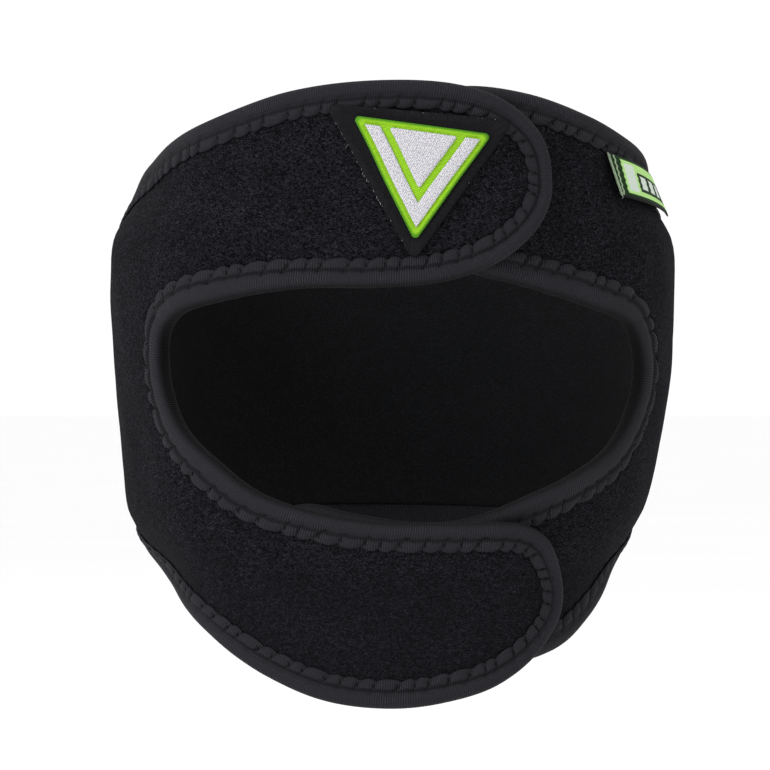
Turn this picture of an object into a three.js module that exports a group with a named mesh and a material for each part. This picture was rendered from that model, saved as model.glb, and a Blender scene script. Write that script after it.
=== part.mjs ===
// Double patella strap: one neoprene panel with four arms, wrapped round the knee and lapped at the front.
// The leg's axis is Z, the kneecap faces -Y, and the origin is the middle of the kneecap opening.
import * as THREE from "three";

// Driving sizes of the knee that the strap fits, in millimetres
const kneeWidth = 123.6;
const kneeDepth = 111.4;
const roundness = 2.4; // 2 is an oval section, and more is squarer

// Driving sizes of the panel: heights from the kneecap's centre, at the front
const upperReach = 72;
const lowerReach = 69.6;
const openingRise = 25.4;
const openingDrop = 27.4;
const legGap = 1.1;
const foamThickness = 3.2;
const foamPinch = 0.5; // each face of the foam sinks this far under the sewn tape

// Driving sizes of the edge tape, and of the fasteners between the lapped arms
const clearance = 0.3;
const tapeThickness = 0.8;
const tapeWidth = 6.2; // from the strap's edge to the tape's sewn end, on the outer face
const innerTapeWidth = 5.6; // the same on the leg side
const rollDepth = 1.1; // solid tape round the foam's edge
const rollWidth = 3.4; // from the strap's edge to the valley of the seam
const rollPeak = 0.7; // the roll's highest line and its shoulder, as shares of the roll's width
const rollShoulder = 0.25;
const rollFlat = 0.5; // flat share of the roll's height at the strap's edge
const padThickness = 1.4;
const padSquareness = 4; // 2 is an oval outline, and more is squarer
const upperPadWidth = 24;
const upperPadHeight = 18;
const lowerPadWidth = 28;
const lowerPadHeight = 17;

// Driving sizes of the badge and the side tag
const badgeWidth = 42;
const badgeHeight = 35.6;
const badgeThickness = 0.9;
const fieldThickness = 0.5;
const motifThickness = 0.45;
const motifMargin = 1.6; // green left showing round the white embroidery
const chevronWidth = 2.8;
const badgeGap = 0.2;
const tagThickness = 0.6;

// How far the tape stands up from the foam, as shares of the tape's thickness
const crownOf = { sewnEnd: 0.55, flange: 0.9, valley: 0.5, roll: 1.1, shoulder: 0.65, innerEnd: 0.7 };

// The left arms climb over the right ones between these turns
const lapStart = -66;
const lapEnd = -34;

// Columns of facets along each stretch of the outline, rows across an arm, and facets of the smaller pieces
const leftArmColumns = 17;
const rightArmColumns = 16;
const backColumns = 19;
const armRows = 4;
const padFacets = { columns: 10, rows: 4 };
const baseFacets = { columns: 8, rows: 6 };
const fieldFacets = { columns: 6, rows: 5 };
const coreFacets = { columns: 3, rows: 3 };
const chevronColumns = 5;
const tagFacets = { columns: 8, rows: 3 };
const samplesPerRow = 40; // steps along the outline's curve for each row of its table, to measure its length

// Offsets from the leg, worked out from the sizes above
const foamTop = legGap + foamThickness;
const lapLift = foamThickness + padThickness + 2 * clearance;
const tapeRoofUnderside = foamTop - foamPinch + clearance;
const tapeFloorTop = legGap + foamPinch - clearance;
const flangeTop = tapeRoofUnderside + crownOf.flange * tapeThickness;
const rollTop = tapeRoofUnderside + crownOf.roll * tapeThickness;
const rollBottom = tapeFloorTop - crownOf.roll * tapeThickness;
const foamInset = rollDepth + clearance; // from the strap's edge to the foam's edge
const pinchInset = tapeWidth + clearance; // past this line the foam swells back to full thickness

// Sections of the knee. Level 0 is the kneecap's centre, 1 and -1 the opening's edges, 2 and -2 the strap's
// edges at the front. Width, depth and lean are shares of half the knee's width, depth and width.
const kneeSections = [
  { level: -2.3, width: 0.73, depth: 0.835, lean: -0.031 },
  { level: -1.8, width: 0.755, depth: 0.855, lean: -0.031 },
  { level: -1.42, width: 0.77, depth: 0.888, lean: -0.024 },
  { level: -1.27, width: 0.788, depth: 0.902, lean: -0.026 },
  { level: -1.12, width: 0.85, depth: 0.922, lean: -0.029 },
  { level: -0.95, width: 0.905, depth: 0.942, lean: -0.027 },
  { level: -0.6, width: 0.935, depth: 0.972, lean: -0.013 },
  { level: 0, width: 0.974, depth: 1, lean: 0 },
  { level: 0.6, width: 0.995, depth: 1, lean: 0.002 },
  { level: 1.05, width: 1, depth: 1, lean: 0 },
  { level: 1.26, width: 0.99, depth: 0.994, lean: 0 },
  { level: 1.42, width: 0.926, depth: 0.988, lean: 0.001 },
  { level: 1.52, width: 0.893, depth: 0.984, lean: 0.002 },
  { level: 1.7, width: 0.893, depth: 0.98, lean: 0.007 },
  { level: 2.3, width: 0.9, depth: 0.965, lean: 0 },
];

// Stretches of the strap's edge, in order round the whole panel. Turn is in degrees from the front,
// positive to the viewer's right, and level is as above. A stretch ends where the next one starts.
const outline = [
  {
    name: "leftUpperOuter",
    side: -1,
    columns: leftArmColumns,
    rows: [
      { turn: 32.5, level: 1.51 },
      { turn: 31.4, level: 1.67 },
      { turn: 28.2, level: 1.8 },
      { turn: 21.5, level: 1.92 },
      { turn: 12, level: 1.986 },
      { turn: -4, level: 2 },
      { turn: -21, level: 1.952 },
      { turn: -39.5, level: 1.815 },
    ],
  },
  {
    name: "leftUpperBack",
    side: -1,
    columns: backColumns,
    rows: [
      { turn: -59, level: 1.685 },
      { turn: -77, level: 1.57 },
      { turn: -104, level: 1.41 },
      { turn: -145, level: 1.28 },
    ],
  },
  {
    name: "rightUpperBack",
    side: 1,
    columns: backColumns,
    rows: [
      { turn: 180, level: 1.26 },
      { turn: 145, level: 1.28 },
      { turn: 105, level: 1.4 },
      { turn: 81, level: 1.62 },
    ],
  },
  {
    name: "rightUpperOuter",
    side: 1,
    columns: rightArmColumns,
    rows: [
      { turn: 69, level: 1.7 },
      { turn: 57, level: 1.77 },
      { turn: 45.5, level: 1.85 },
      { turn: 30, level: 1.947 },
      { turn: 17, level: 1.98 },
      { turn: 4, level: 1.94 },
      { turn: -9, level: 1.85 },
      { turn: -17, level: 1.71 },
    ],
  },
  {
    name: "rightUpperInner",
    side: 1,
    columns: rightArmColumns,
    rows: [
      { turn: -20, level: 1.54 },
      { turn: -17.5, level: 1.38 },
      { turn: -10, level: 1.23 },
      { turn: 2, level: 1.13 },
      { turn: 17.5, level: 1.067 },
      { turn: 30.5, level: 1.01 },
      { turn: 44, level: 0.86 },
      { turn: 54.2, level: 0.71 },
      { turn: 59.1, level: 0.43 },
    ],
  },
  {
    name: "rightLowerInner",
    side: 1,
    columns: rightArmColumns,
    rows: [
      { turn: 60, level: 0.16 },
      { turn: 57.8, level: -0.115 },
      { turn: 52.6, level: -0.395 },
      { turn: 44, level: -0.61 },
      { turn: 33.3, level: -0.795 },
      { turn: 20.5, level: -0.965 },
      { turn: 8, level: -1.003 },
      { turn: -8, level: -0.924 },
      { turn: -18.5, level: -0.85 },
      { turn: -27, level: -0.96 },
    ],
  },
  {
    name: "rightLowerOuter",
    side: 1,
    columns: rightArmColumns,
    rows: [
      { turn: -31.5, level: -1.18 },
      { turn: -29.5, level: -1.42 },
      { turn: -20, level: -1.64 },
      { turn: -4, level: -1.77 },
      { turn: 14, level: -1.81 },
      { turn: 30, level: -1.785 },
      { turn: 47.5, level: -1.69 },
      { turn: 59, level: -1.55 },
    ],
  },
  {
    name: "rightLowerBack",
    side: 1,
    columns: backColumns,
    rows: [
      { turn: 68.5, level: -1.435 },
      { turn: 77, level: -1.34 },
      { turn: 92, level: -1.23 },
      { turn: 135, level: -1.13 },
    ],
  },
  {
    name: "leftLowerBack",
    side: -1,
    columns: backColumns,
    rows: [
      { turn: -180, level: -1.1 },
      { turn: -135, level: -1.12 },
      { turn: -95, level: -1.2 },
      { turn: -74, level: -1.3 },
    ],
  },
  {
    name: "leftLowerOuter",
    side: -1,
    columns: leftArmColumns,
    rows: [
      { turn: -58, level: -1.455 },
      { turn: -44, level: -1.6 },
      { turn: -27.6, level: -1.828 },
      { turn: -14, level: -1.958 },
      { turn: 1, level: -2 },
      { turn: 13.5, level: -1.972 },
      { turn: 26.3, level: -1.88 },
      { turn: 35.8, level: -1.712 },
      { turn: 40.8, level: -1.52 },
    ],
  },
  {
    name: "leftLowerInner",
    side: -1,
    columns: leftArmColumns,
    rows: [
      { turn: 41.1, level: -1.36 },
      { turn: 38.8, level: -1.21 },
      { turn: 34.5, level: -1.075 },
      { turn: 29, level: -1.01 },
      { turn: 13, level: -1.003 },
      { turn: -2.5, level: -0.99 },
      { turn: -16, level: -0.9 },
      { turn: -27.2, level: -0.76 },
      { turn: -36, level: -0.52 },
      { turn: -45, level: -0.22 },
      { turn: -49.6, level: 0.1 },
    ],
  },
  {
    name: "leftUpperInner",
    side: -1,
    columns: leftArmColumns,
    rows: [
      { turn: -50.9, level: 0.38 },
      { turn: -49.7, level: 0.61 },
      { turn: -45.1, level: 0.785 },
      { turn: -33.4, level: 0.92 },
      { turn: -20, level: 0.992 },
      { turn: -3, level: 0.998 },
      { turn: 11, level: 1.032 },
      { turn: 21.2, level: 1.123 },
      { turn: 28, level: 1.26 },
      { turn: 31.6, level: 1.4 },
    ],
  },
];

// Corners of the badge and of its green field as shares of the badge's width and height, and where its middle
// sits on the upper arm
const badgeCorners = [
  { across: -0.5, up: 0.5 },
  { across: 0.5, up: 0.396 },
  { across: -0.02, up: -0.5 },
];
const fieldCorners = [
  { across: -0.35, up: 0.424 },
  { across: 0.376, up: 0.306 },
  { across: -0.015, up: -0.374 },
];
const badgePlace = { turn: 4.8, level: 1.504 };

// Corners of the side tag, with how far each stands off beside the tag's thickness, as a share of it
const tagCorners = {
  topNear: { turn: 49.3, level: 1.67, flare: 0 },
  topFar: { turn: 82, level: 1.555, flare: 0 },
  bottomNear: { turn: 52.8, level: 1.455, flare: 1.4 },
  bottomFar: { turn: 83, level: 1.375, flare: 0.8 },
};

// Middles of the hidden fasteners
const upperPadPlace = { turn: 5, level: 1.5 };
const lowerPadPlace = { turn: 5, level: -1.4 };

const degrees = 180 / Math.PI;

// Height of a level, in millimetres
function riseOf(level) {
  const [opening, reach] = level < 0 ? [openingDrop, lowerReach] : [openingRise, upperReach];
  const size = Math.abs(level);
  const height = size < 1 ? size * opening : opening + (size - 1) * (reach - opening);
  return Math.sign(level) * height;
}

// Level of a height, the inverse of riseOf
function levelOf(rise) {
  const [opening, reach] = rise < 0 ? [openingDrop, lowerReach] : [openingRise, upperReach];
  const size = Math.abs(rise);
  const level = size < opening ? size / opening : 1 + (size - opening) / (reach - opening);
  return Math.sign(rise) * level;
}

// Slope of a column of the section table at one of its rows
function sectionSlope(column, row) {
  const below = kneeSections[Math.max(row - 1, 0)];
  const above = kneeSections[Math.min(row + 1, kneeSections.length - 1)];
  return (above[column] - below[column]) / (above.level - below.level);
}

// Smooth cubic value of a column of the section table at any level
function sectionAt(column, level) {
  const last = kneeSections.length - 2;
  const found = kneeSections.findIndex((section) => section.level > level) - 1;
  const row = found < -1 ? last : Math.max(found, 0);
  const [below, above] = [kneeSections[row], kneeSections[row + 1]];
  const span = above.level - below.level;
  const t = THREE.MathUtils.clamp((level - below.level) / span, 0, 1);
  const rise = t * t * (3 - 2 * t);
  const start = t * (1 - t) * (1 - t) * span * sectionSlope(column, row);
  const end = t * t * (t - 1) * span * sectionSlope(column, row + 1);
  return below[column] + rise * (above[column] - below[column]) + start + end;
}

// Wrap runs round the leg from the middle of the back: positive towards the right arms, negative towards the
// left ones, so lapped arms keep apart.
function wrapOf(side, turn) {
  return side * 180 - turn;
}

// Extra offset of the left arms where they lie over the right ones
function liftAt(wrap) {
  const climb = THREE.MathUtils.smoothstep(-wrap, -wrapOf(-1, lapStart), -wrapOf(-1, lapEnd));
  return lapLift * climb;
}

// Radius of the knee's squarish oval section, seen from its middle
function radiusAt(wrap, rise, offset) {
  const level = levelOf(rise);
  const turn = (180 - wrap) / degrees;
  const halfWidth = (sectionAt("width", level) * kneeWidth) / 2 + offset;
  const halfDepth = (sectionAt("depth", level) * kneeDepth) / 2 + offset;
  const across = Math.pow(Math.abs(Math.sin(turn)) / halfWidth, roundness);
  const along = Math.pow(Math.abs(Math.cos(turn)) / halfDepth, roundness);
  return Math.pow(across + along, -1 / roundness);
}

// Point in space of a place on the strap, at an offset from the leg
function place(wrap, rise, offset) {
  const radius = radiusAt(wrap, rise, offset + liftAt(wrap));
  const turn = (180 - wrap) / degrees;
  const lean = (sectionAt("lean", levelOf(rise)) * kneeWidth) / 2;
  return new THREE.Vector3(radius * Math.sin(turn) + lean, -radius * Math.cos(turn), rise);
}

// Degrees of wrap that one millimetre takes at a place
function wrapPerMillimetre(wrap, rise) {
  return degrees / radiusAt(wrap, rise, foamTop + liftAt(wrap));
}

// Stations round the strap's edge, evenly spaced on each stretch, each with its inward direction
// in millimetres
function edgeStations() {
  const flatScale = kneeWidth / 2 / degrees;
  const knots = outline.flatMap(({ side, rows }) =>
    rows.map(({ turn, level }) => new THREE.Vector3(wrapOf(side, turn) * flatScale, riseOf(level), 0)),
  );
  const curve = new THREE.CatmullRomCurve3(knots, true, "centripetal");
  const stations = [];
  let knot = 0;
  for (const { rows, columns } of outline) {
    const samples = rows.length * samplesPerRow;
    const timeAt = (sample) => (knot + (rows.length * sample) / samples) / knots.length;
    const lengths = [0];
    for (let sample = 1; sample <= samples; sample++) {
      const step = curve.getPoint(timeAt(sample)).distanceTo(curve.getPoint(timeAt(sample - 1)));
      lengths.push(lengths[sample - 1] + step);
    }
    for (let column = 0; column < columns; column++) {
      const wanted = (lengths[samples] * column) / columns;
      const past = Math.max(lengths.findIndex((length) => length > wanted), 1);
      const part = (wanted - lengths[past - 1]) / (lengths[past] - lengths[past - 1]);
      const time = timeAt(past - 1 + part);
      const point = curve.getPoint(time);
      const tangent = curve.getTangent(time);
      const wrap = point.x / flatScale;
      const stretch = 1 / (wrapPerMillimetre(wrap, point.y) * flatScale);
      const inward = new THREE.Vector2(tangent.y, -tangent.x * stretch).normalize();
      stations.push({ wrap, rise: point.y, inward });
    }
    knot += rows.length;
  }
  return stations;
}

// Place that lies some millimetres inward of a station
function insetPlace(station, inset) {
  const perMillimetre = wrapPerMillimetre(station.wrap, station.rise);
  return {
    wrap: station.wrap + station.inward.x * inset * perMillimetre,
    rise: station.rise + station.inward.y * inset,
  };
}

// Place between two others
function between(first, second, part) {
  if (part === 0 || first === second) return first;
  if (part === 1) return second;
  const mix = (name) => THREE.MathUtils.lerp(first[name] ?? 0, second[name] ?? 0, part);
  return { wrap: mix("wrap"), rise: mix("rise"), flare: mix("flare"), pinch: 0 };
}

// Grid of places between two rows of them
function ruledGrid(firstRow, secondRow, rows) {
  return firstRow.map((first, column) =>
    Array.from({ length: rows + 1 }, (_, row) => between(first, secondRow[column], row / rows)),
  );
}

// Closed geometry from corners and triangles, turned right side out
function closedGeometry(corners, triangles) {
  let volume = 0;
  for (const [a, b, c] of triangles)
    volume += corners[a].dot(new THREE.Vector3().crossVectors(corners[b], corners[c]));
  const facing = volume < 0 ? triangles.map(([a, b, c]) => [a, c, b]) : triangles;
  const geometry = new THREE.BufferGeometry().setFromPoints(corners);
  geometry.setIndex(facing.flat());
  geometry.computeVertexNormals();
  return geometry;
}

// Sheet with thickness: a top face and an underside over the same grids, and a rim along their free edges
function sheetGeometry(grids, topOffset, undersideOffset) {
  const numbers = new Map();
  const spots = [];
  const triangles = [];
  const numberOf = (spot) => {
    const key = spot.wrap.toFixed(4) + "," + spot.rise.toFixed(4);
    if (!numbers.has(key)) numbers.set(key, spots.push(spot) - 1);
    return numbers.get(key);
  };
  const addTriangle = (...corners) => {
    const [a, b, c] = corners;
    const [first, second, third] = corners.map(numberOf);
    if (first === second || second === third || first === third) return;
    const turned = (b.wrap - a.wrap) * (c.rise - a.rise) - (c.wrap - a.wrap) * (b.rise - a.rise);
    triangles.push(turned > 0 ? [first, third, second] : [first, second, third]);
  };
  for (const grid of grids)
    for (let column = 0; column + 1 < grid.length; column++)
      for (let row = 0; row + 1 < grid[column].length; row++) {
        const near = grid[column];
        const far = grid[column + 1];
        addTriangle(near[row], near[row + 1], far[row + 1]);
        addTriangle(near[row], far[row + 1], far[row]);
      }
  const count = spots.length;
  const sided = (offset) => spots.map((spot) => place(spot.wrap, spot.rise, offset(spot)));
  const edges = new Map();
  for (const [a, b, c] of triangles)
    for (const [from, to] of [[a, b], [b, c], [c, a]]) edges.set(from + "," + to, [from, to]);
  const faces = triangles.flatMap(([a, b, c]) => [[a, b, c], [a + count, c + count, b + count]]);
  for (const [from, to] of edges.values()) {
    if (edges.has(to + "," + from)) continue;
    faces.push([to, from, from + count], [to, from + count, to + count]);
  }
  return closedGeometry([...sided(topOffset), ...sided(undersideOffset)], faces);
}

// Closed geometry from rings of points, joined one to the next, and closed at both ends
function loftGeometry(rings) {
  const size = rings[0].length;
  const triangles = [];
  for (let ring = 0; ring + 1 < rings.length; ring++)
    for (let k = 0; k < size; k++) {
      const [here, next] = [ring * size + k, ring * size + ((k + 1) % size)];
      triangles.push([here, next, next + size], [here, next + size, here + size]);
    }
  for (const start of [0, (rings.length - 1) * size])
    for (let k = 0; 2 * k + 2 < size; k++) {
      const [a, b, c, d] = [k, k + 1, size - 2 - k, size - 1 - k].map((corner) => start + corner);
      triangles.push(...(start ? [[a, b, c], [a, c, d]] : [[a, c, b], [a, d, c]]));
    }
  return closedGeometry(rings.flat(), triangles);
}

// Named mesh with its own finish
function piece(name, geometry, color, roughness) {
  const mesh = new THREE.Mesh(geometry, new THREE.MeshStandardMaterial({ color, roughness, metalness: 0 }));
  mesh.name = name;
  return mesh;
}

const stations = edgeStations();

// First station of a stretch of the outline
function firstStation(name) {
  const index = outline.findIndex((stretch) => stretch.name === name);
  return outline.slice(0, index).reduce((sum, { columns }) => sum + columns, 0);
}

// The foam: a pinched border under the tape, and arms and back ruled between the border's inner lines
function neoprenePanel() {
  const total = stations.length;
  const foamEdge = stations.map((station) => ({ ...insetPlace(station, foamInset), pinch: foamPinch }));
  const pinchLine = stations.map((station) => ({ ...insetPlace(station, pinchInset), pinch: foamPinch }));
  const border = Array.from({ length: total + 1 }, (_, k) => [foamEdge[k % total], pinchLine[k % total]]);
  const stretchLine = (name) => {
    const first = firstStation(name);
    const { columns } = outline.find((stretch) => stretch.name === name);
    return Array.from({ length: columns + 1 }, (_, k) => pinchLine[(first + k) % total]);
  };
  const arm = (outer, inner) => ruledGrid(stretchLine(outer), stretchLine(inner).reverse(), armRows);
  const leftApex = pinchLine[firstStation("leftUpperInner")];
  const rightApex = pinchLine[firstStation("rightLowerInner")];
  const middle = Array.from({ length: 2 * backColumns + 1 }, (_, k) =>
    between(leftApex, rightApex, k / (2 * backColumns)),
  );
  const top = [...stretchLine("leftUpperBack"), ...stretchLine("rightUpperBack").slice(1)];
  const bottom = [...stretchLine("rightLowerBack"), ...stretchLine("leftLowerBack").slice(1)].reverse();
  const grids = [
    border,
    arm("leftUpperOuter", "leftUpperInner"),
    arm("rightUpperOuter", "rightUpperInner"),
    arm("leftLowerOuter", "leftLowerInner"),
    arm("rightLowerOuter", "rightLowerInner"),
    ruledGrid(top, middle, armRows),
    ruledGrid(bottom, middle, armRows),
  ];
  const topOffset = (spot) => foamTop - spot.pinch;
  const undersideOffset = (spot) => legGap + spot.pinch;
  return piece("neoprene_panel", sheetGeometry(grids, topOffset, undersideOffset), 0x19191b, 0.95);
}

// The folded tape: a U section with a rolled edge and a sewn valley, carried round the whole outline
function edgeBinding() {
  const edgeDrop = ((1 - rollFlat) * (tapeRoofUnderside - tapeFloorTop)) / 2;
  const above = (part) => tapeRoofUnderside + crownOf[part] * tapeThickness;
  const below = (part) => tapeFloorTop - crownOf[part] * tapeThickness;
  const section = [
    { inset: tapeWidth, offset: tapeRoofUnderside },
    { inset: tapeWidth, offset: above("sewnEnd") },
    { inset: (tapeWidth + rollWidth) / 2, offset: flangeTop },
    { inset: rollWidth, offset: above("valley") },
    { inset: rollPeak * rollWidth, offset: rollTop },
    { inset: rollShoulder * rollWidth, offset: above("shoulder") },
    { inset: 0, offset: tapeRoofUnderside - edgeDrop },
    { inset: 0, offset: tapeFloorTop + edgeDrop },
    { inset: rollShoulder * rollWidth, offset: below("shoulder") },
    { inset: rollPeak * rollWidth, offset: rollBottom },
    { inset: innerTapeWidth, offset: below("innerEnd") },
    { inset: innerTapeWidth, offset: tapeFloorTop },
    { inset: rollDepth, offset: tapeFloorTop },
    { inset: rollDepth, offset: tapeRoofUnderside },
  ];
  const corners = stations.flatMap((station) =>
    section.map(({ inset, offset }) => {
      const spot = insetPlace(station, inset);
      return place(spot.wrap, spot.rise, offset);
    }),
  );
  const triangles = [];
  for (let column = 0; column < stations.length; column++)
    for (let row = 0; row < section.length; row++) {
      const near = column * section.length;
      const far = ((column + 1) % stations.length) * section.length;
      const next = (row + 1) % section.length;
      // Facets are split the way the foam's are, so that the gap between them stays even
      if (section[next].inset > section[row].inset)
        triangles.push([near + row, far + row, far + next], [near + row, far + next, near + next]);
      else triangles.push([near + row, far + row, near + next], [far + row, far + next, near + next]);
    }
  return piece("edge_binding", closedGeometry(corners, triangles), 0x2b2b2d, 0.85);
}

// Place on a side of the strap, moved by millimetres to the viewer's right and up
function moved({ turn, level }, side, across, up) {
  const wrap = wrapOf(side, turn);
  const rise = riseOf(level);
  return { wrap: wrap - across * wrapPerMillimetre(wrap, rise), rise: rise + up, pinch: 0 };
}

// A plain fastener pad with rounded corners, between the two layers of a lap
function hookPad(name, centre, width, height) {
  const { columns, rows } = padFacets;
  const edge = (upward) =>
    Array.from({ length: columns + 1 }, (_, column) => {
      const along = -Math.cos((Math.PI * column) / columns);
      const bulge = Math.pow(1 - Math.pow(Math.abs(along), padSquareness), 1 / padSquareness);
      return moved(centre, 1, (along * width) / 2, (upward * bulge * height) / 2);
    });
  const upper = edge(1);
  const lower = edge(-1);
  lower[0] = upper[0];
  lower[columns] = upper[columns];
  const underside = foamTop + clearance;
  const grid = ruledGrid(upper, lower, rows);
  return piece(name, sheetGeometry([grid], () => underside + padThickness, () => underside), 0x202022, 0.9);
}

// Corners of a triangle in millimetres from the badge's middle, moved in from its top and its lower sides
function badgeTriangle(shares, topInset, sideInset) {
  const corners = shares.map(({ across, up }) => new THREE.Vector2(across * badgeWidth, up * badgeHeight));
  const insets = [topInset, sideInset, sideInset];
  return corners.map((corner, k) => {
    const [after, before] = [(k + 1) % 3, (k + 2) % 3];
    const onwards = corners[after].clone().sub(corner).normalize();
    const backwards = corners[before].clone().sub(corner).normalize();
    const sharpness = Math.abs(onwards.cross(backwards));
    return corner
      .clone()
      .addScaledVector(onwards, insets[before] / sharpness)
      .addScaledVector(backwards, insets[k] / sharpness);
  });
}

// Spot of the badge's plane, laid on the lapped upper arm
function badgeSpot(point) {
  return moved(badgePlace, -1, point.x, point.y);
}

// Grid over a triangle: columns along its top edge, and rows down to its tip
function triangleGrid(corners, { columns, rows }) {
  const [left, right, tip] = corners;
  const top = Array.from({ length: columns + 1 }, (_, k) => badgeSpot(left.clone().lerp(right, k / columns)));
  const bottom = badgeSpot(tip);
  return ruledGrid(top, top.map(() => bottom), rows);
}

const badgeUnderside = flangeTop + clearance;
const fieldUnderside = badgeUnderside + badgeThickness + badgeGap;
const motifUnderside = fieldUnderside + fieldThickness + badgeGap;

// One layer of the badge
function badgeLayer(name, grid, underside, thickness, color) {
  return piece(name, sheetGeometry([grid], () => underside + thickness, () => underside), color, 0.6);
}

// White chevron along the two lower sides of the field, with a flat top
function chevronGrid(topInset) {
  const count = chevronColumns;
  const path = ([left, right, tip]) => [
    ...Array.from({ length: count }, (_, k) => badgeSpot(left.clone().lerp(tip, k / count))),
    ...Array.from({ length: count + 1 }, (_, k) => badgeSpot(tip.clone().lerp(right, k / count))),
  ];
  const outer = path(badgeTriangle(fieldCorners, topInset, topInset));
  const inner = path(badgeTriangle(fieldCorners, topInset, topInset + chevronWidth));
  return ruledGrid(outer, inner, 1);
}

// The badge: a black patch, a green field, and a white chevron round a white core
function badge() {
  const group = new THREE.Group();
  const coreInset = motifMargin + chevronWidth + motifMargin;
  const base = triangleGrid(badgeTriangle(badgeCorners, 0, 0), baseFacets);
  const field = triangleGrid(badgeTriangle(fieldCorners, 0, 0), fieldFacets);
  const core = triangleGrid(badgeTriangle(fieldCorners, motifMargin, coreInset), coreFacets);
  group.add(
    badgeLayer("badge_base", base, badgeUnderside, badgeThickness, 0x1c1c1e),
    badgeLayer("badge_field", field, fieldUnderside, fieldThickness, 0x8edb2b),
    badgeLayer("badge_chevron", chevronGrid(motifMargin), motifUnderside, motifThickness, 0xf1f1ee),
    badgeLayer("badge_core", core, motifUnderside, motifThickness, 0xf1f1ee),
  );
  return group;
}

// The woven tag: folded double, and held under the top tape. Its top and bottom edges follow the leg, and it
// runs straight between them and stands off at the bottom.
function sideTag() {
  const { columns, rows } = tagFacets;
  const corner = ({ turn, level, flare }) => ({ wrap: wrapOf(1, turn), rise: riseOf(level), flare });
  const edgePoint = (near, far, part, lift) => {
    const spot = between(corner(near), corner(far), part);
    return place(spot.wrap, spot.rise, rollTop + clearance + spot.flare * tagThickness + lift);
  };
  const face = (part, lift) => {
    const top = edgePoint(tagCorners.topNear, tagCorners.topFar, part, lift);
    const bottom = edgePoint(tagCorners.bottomNear, tagCorners.bottomFar, part, lift);
    return Array.from({ length: rows + 1 }, (_, k) => top.clone().lerp(bottom, k / rows));
  };
  const rings = Array.from({ length: columns + 1 }, (_, k) => [
    ...face(k / columns, tagThickness),
    ...face(k / columns, 0).reverse(),
  ]);
  return piece("side_tag", loftGeometry(rings), 0x9be04a, 0.7);
}

const strap = new THREE.Group();
strap.add(
  neoprenePanel(),
  edgeBinding(),
  hookPad("upper_hook_pad", upperPadPlace, upperPadWidth, upperPadHeight),
  hookPad("lower_hook_pad", lowerPadPlace, lowerPadWidth, lowerPadHeight),
  badge(),
  sideTag(),
);

export default strap;
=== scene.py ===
import math

import bmesh
import bpy
import numpy as np
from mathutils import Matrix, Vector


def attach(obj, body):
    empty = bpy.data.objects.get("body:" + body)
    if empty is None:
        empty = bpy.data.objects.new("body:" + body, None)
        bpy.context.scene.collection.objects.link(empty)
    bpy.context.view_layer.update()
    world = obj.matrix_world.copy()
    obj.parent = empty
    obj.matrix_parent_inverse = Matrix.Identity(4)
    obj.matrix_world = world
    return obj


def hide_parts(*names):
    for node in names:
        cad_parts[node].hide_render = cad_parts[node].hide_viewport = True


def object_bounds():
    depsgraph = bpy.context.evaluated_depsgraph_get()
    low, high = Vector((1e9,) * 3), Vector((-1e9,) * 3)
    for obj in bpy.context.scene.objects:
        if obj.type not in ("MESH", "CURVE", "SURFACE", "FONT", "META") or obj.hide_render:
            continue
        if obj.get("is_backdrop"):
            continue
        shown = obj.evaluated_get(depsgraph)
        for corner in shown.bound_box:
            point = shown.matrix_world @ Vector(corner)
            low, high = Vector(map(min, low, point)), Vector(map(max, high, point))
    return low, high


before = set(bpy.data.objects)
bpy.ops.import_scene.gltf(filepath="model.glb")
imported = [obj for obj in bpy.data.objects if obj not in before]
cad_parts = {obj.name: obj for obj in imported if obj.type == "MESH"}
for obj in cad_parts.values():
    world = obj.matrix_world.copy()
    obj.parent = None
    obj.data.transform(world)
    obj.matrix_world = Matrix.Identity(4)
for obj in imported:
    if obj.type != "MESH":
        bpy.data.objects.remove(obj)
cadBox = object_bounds()
print("stage: packed strap loaded")

# The knee and the strap it carries, in millimetres and degrees of turn
knee = {"width": 123.6, "depth": 111.4, "roundness": 2.4}
strap = {
    "upperReach": 72.0,
    "lowerReach": 69.6,
    "openingRise": 25.4,
    "openingDrop": 27.4,
    "legGap": 1.1,
    "foamThickness": 3.2,
    "foamPinch": 0.5,
    "clearance": 0.3,
    "tapeThickness": 0.8,
    "padThickness": 1.4,
    "lapStart": -66,
    "lapEnd": -34,
    "flangeShare": 0.9,  # of the tape's thickness, which stands over the flange's underside
}
foamTop = strap["legGap"] + strap["foamThickness"]
lapLift = strap["foamThickness"] + strap["padThickness"] + 2 * strap["clearance"]
tapeRoof = foamTop - strap["foamPinch"] + strap["clearance"]
tapeFloor = strap["legGap"] + strap["foamPinch"] - strap["clearance"]
flangeTop = tapeRoof + strap["flangeShare"] * strap["tapeThickness"]

# Sections of the knee: level, and width, depth and lean as shares of half the knee's sizes
kneeSections = np.array([
    (-2.3, 0.73, 0.835, -0.031),
    (-1.8, 0.755, 0.855, -0.031),
    (-1.42, 0.77, 0.888, -0.024),
    (-1.27, 0.788, 0.902, -0.026),
    (-1.12, 0.85, 0.922, -0.029),
    (-0.95, 0.905, 0.942, -0.027),
    (-0.6, 0.935, 0.972, -0.013),
    (0, 0.974, 1, 0),
    (0.6, 0.995, 1, 0.002),
    (1.05, 1, 1, 0),
    (1.26, 0.99, 0.994, 0),
    (1.42, 0.926, 0.988, 0.001),
    (1.52, 0.893, 0.984, 0.002),
    (1.7, 0.893, 0.98, 0.007),
    (2.3, 0.9, 0.965, 0),
])

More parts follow.
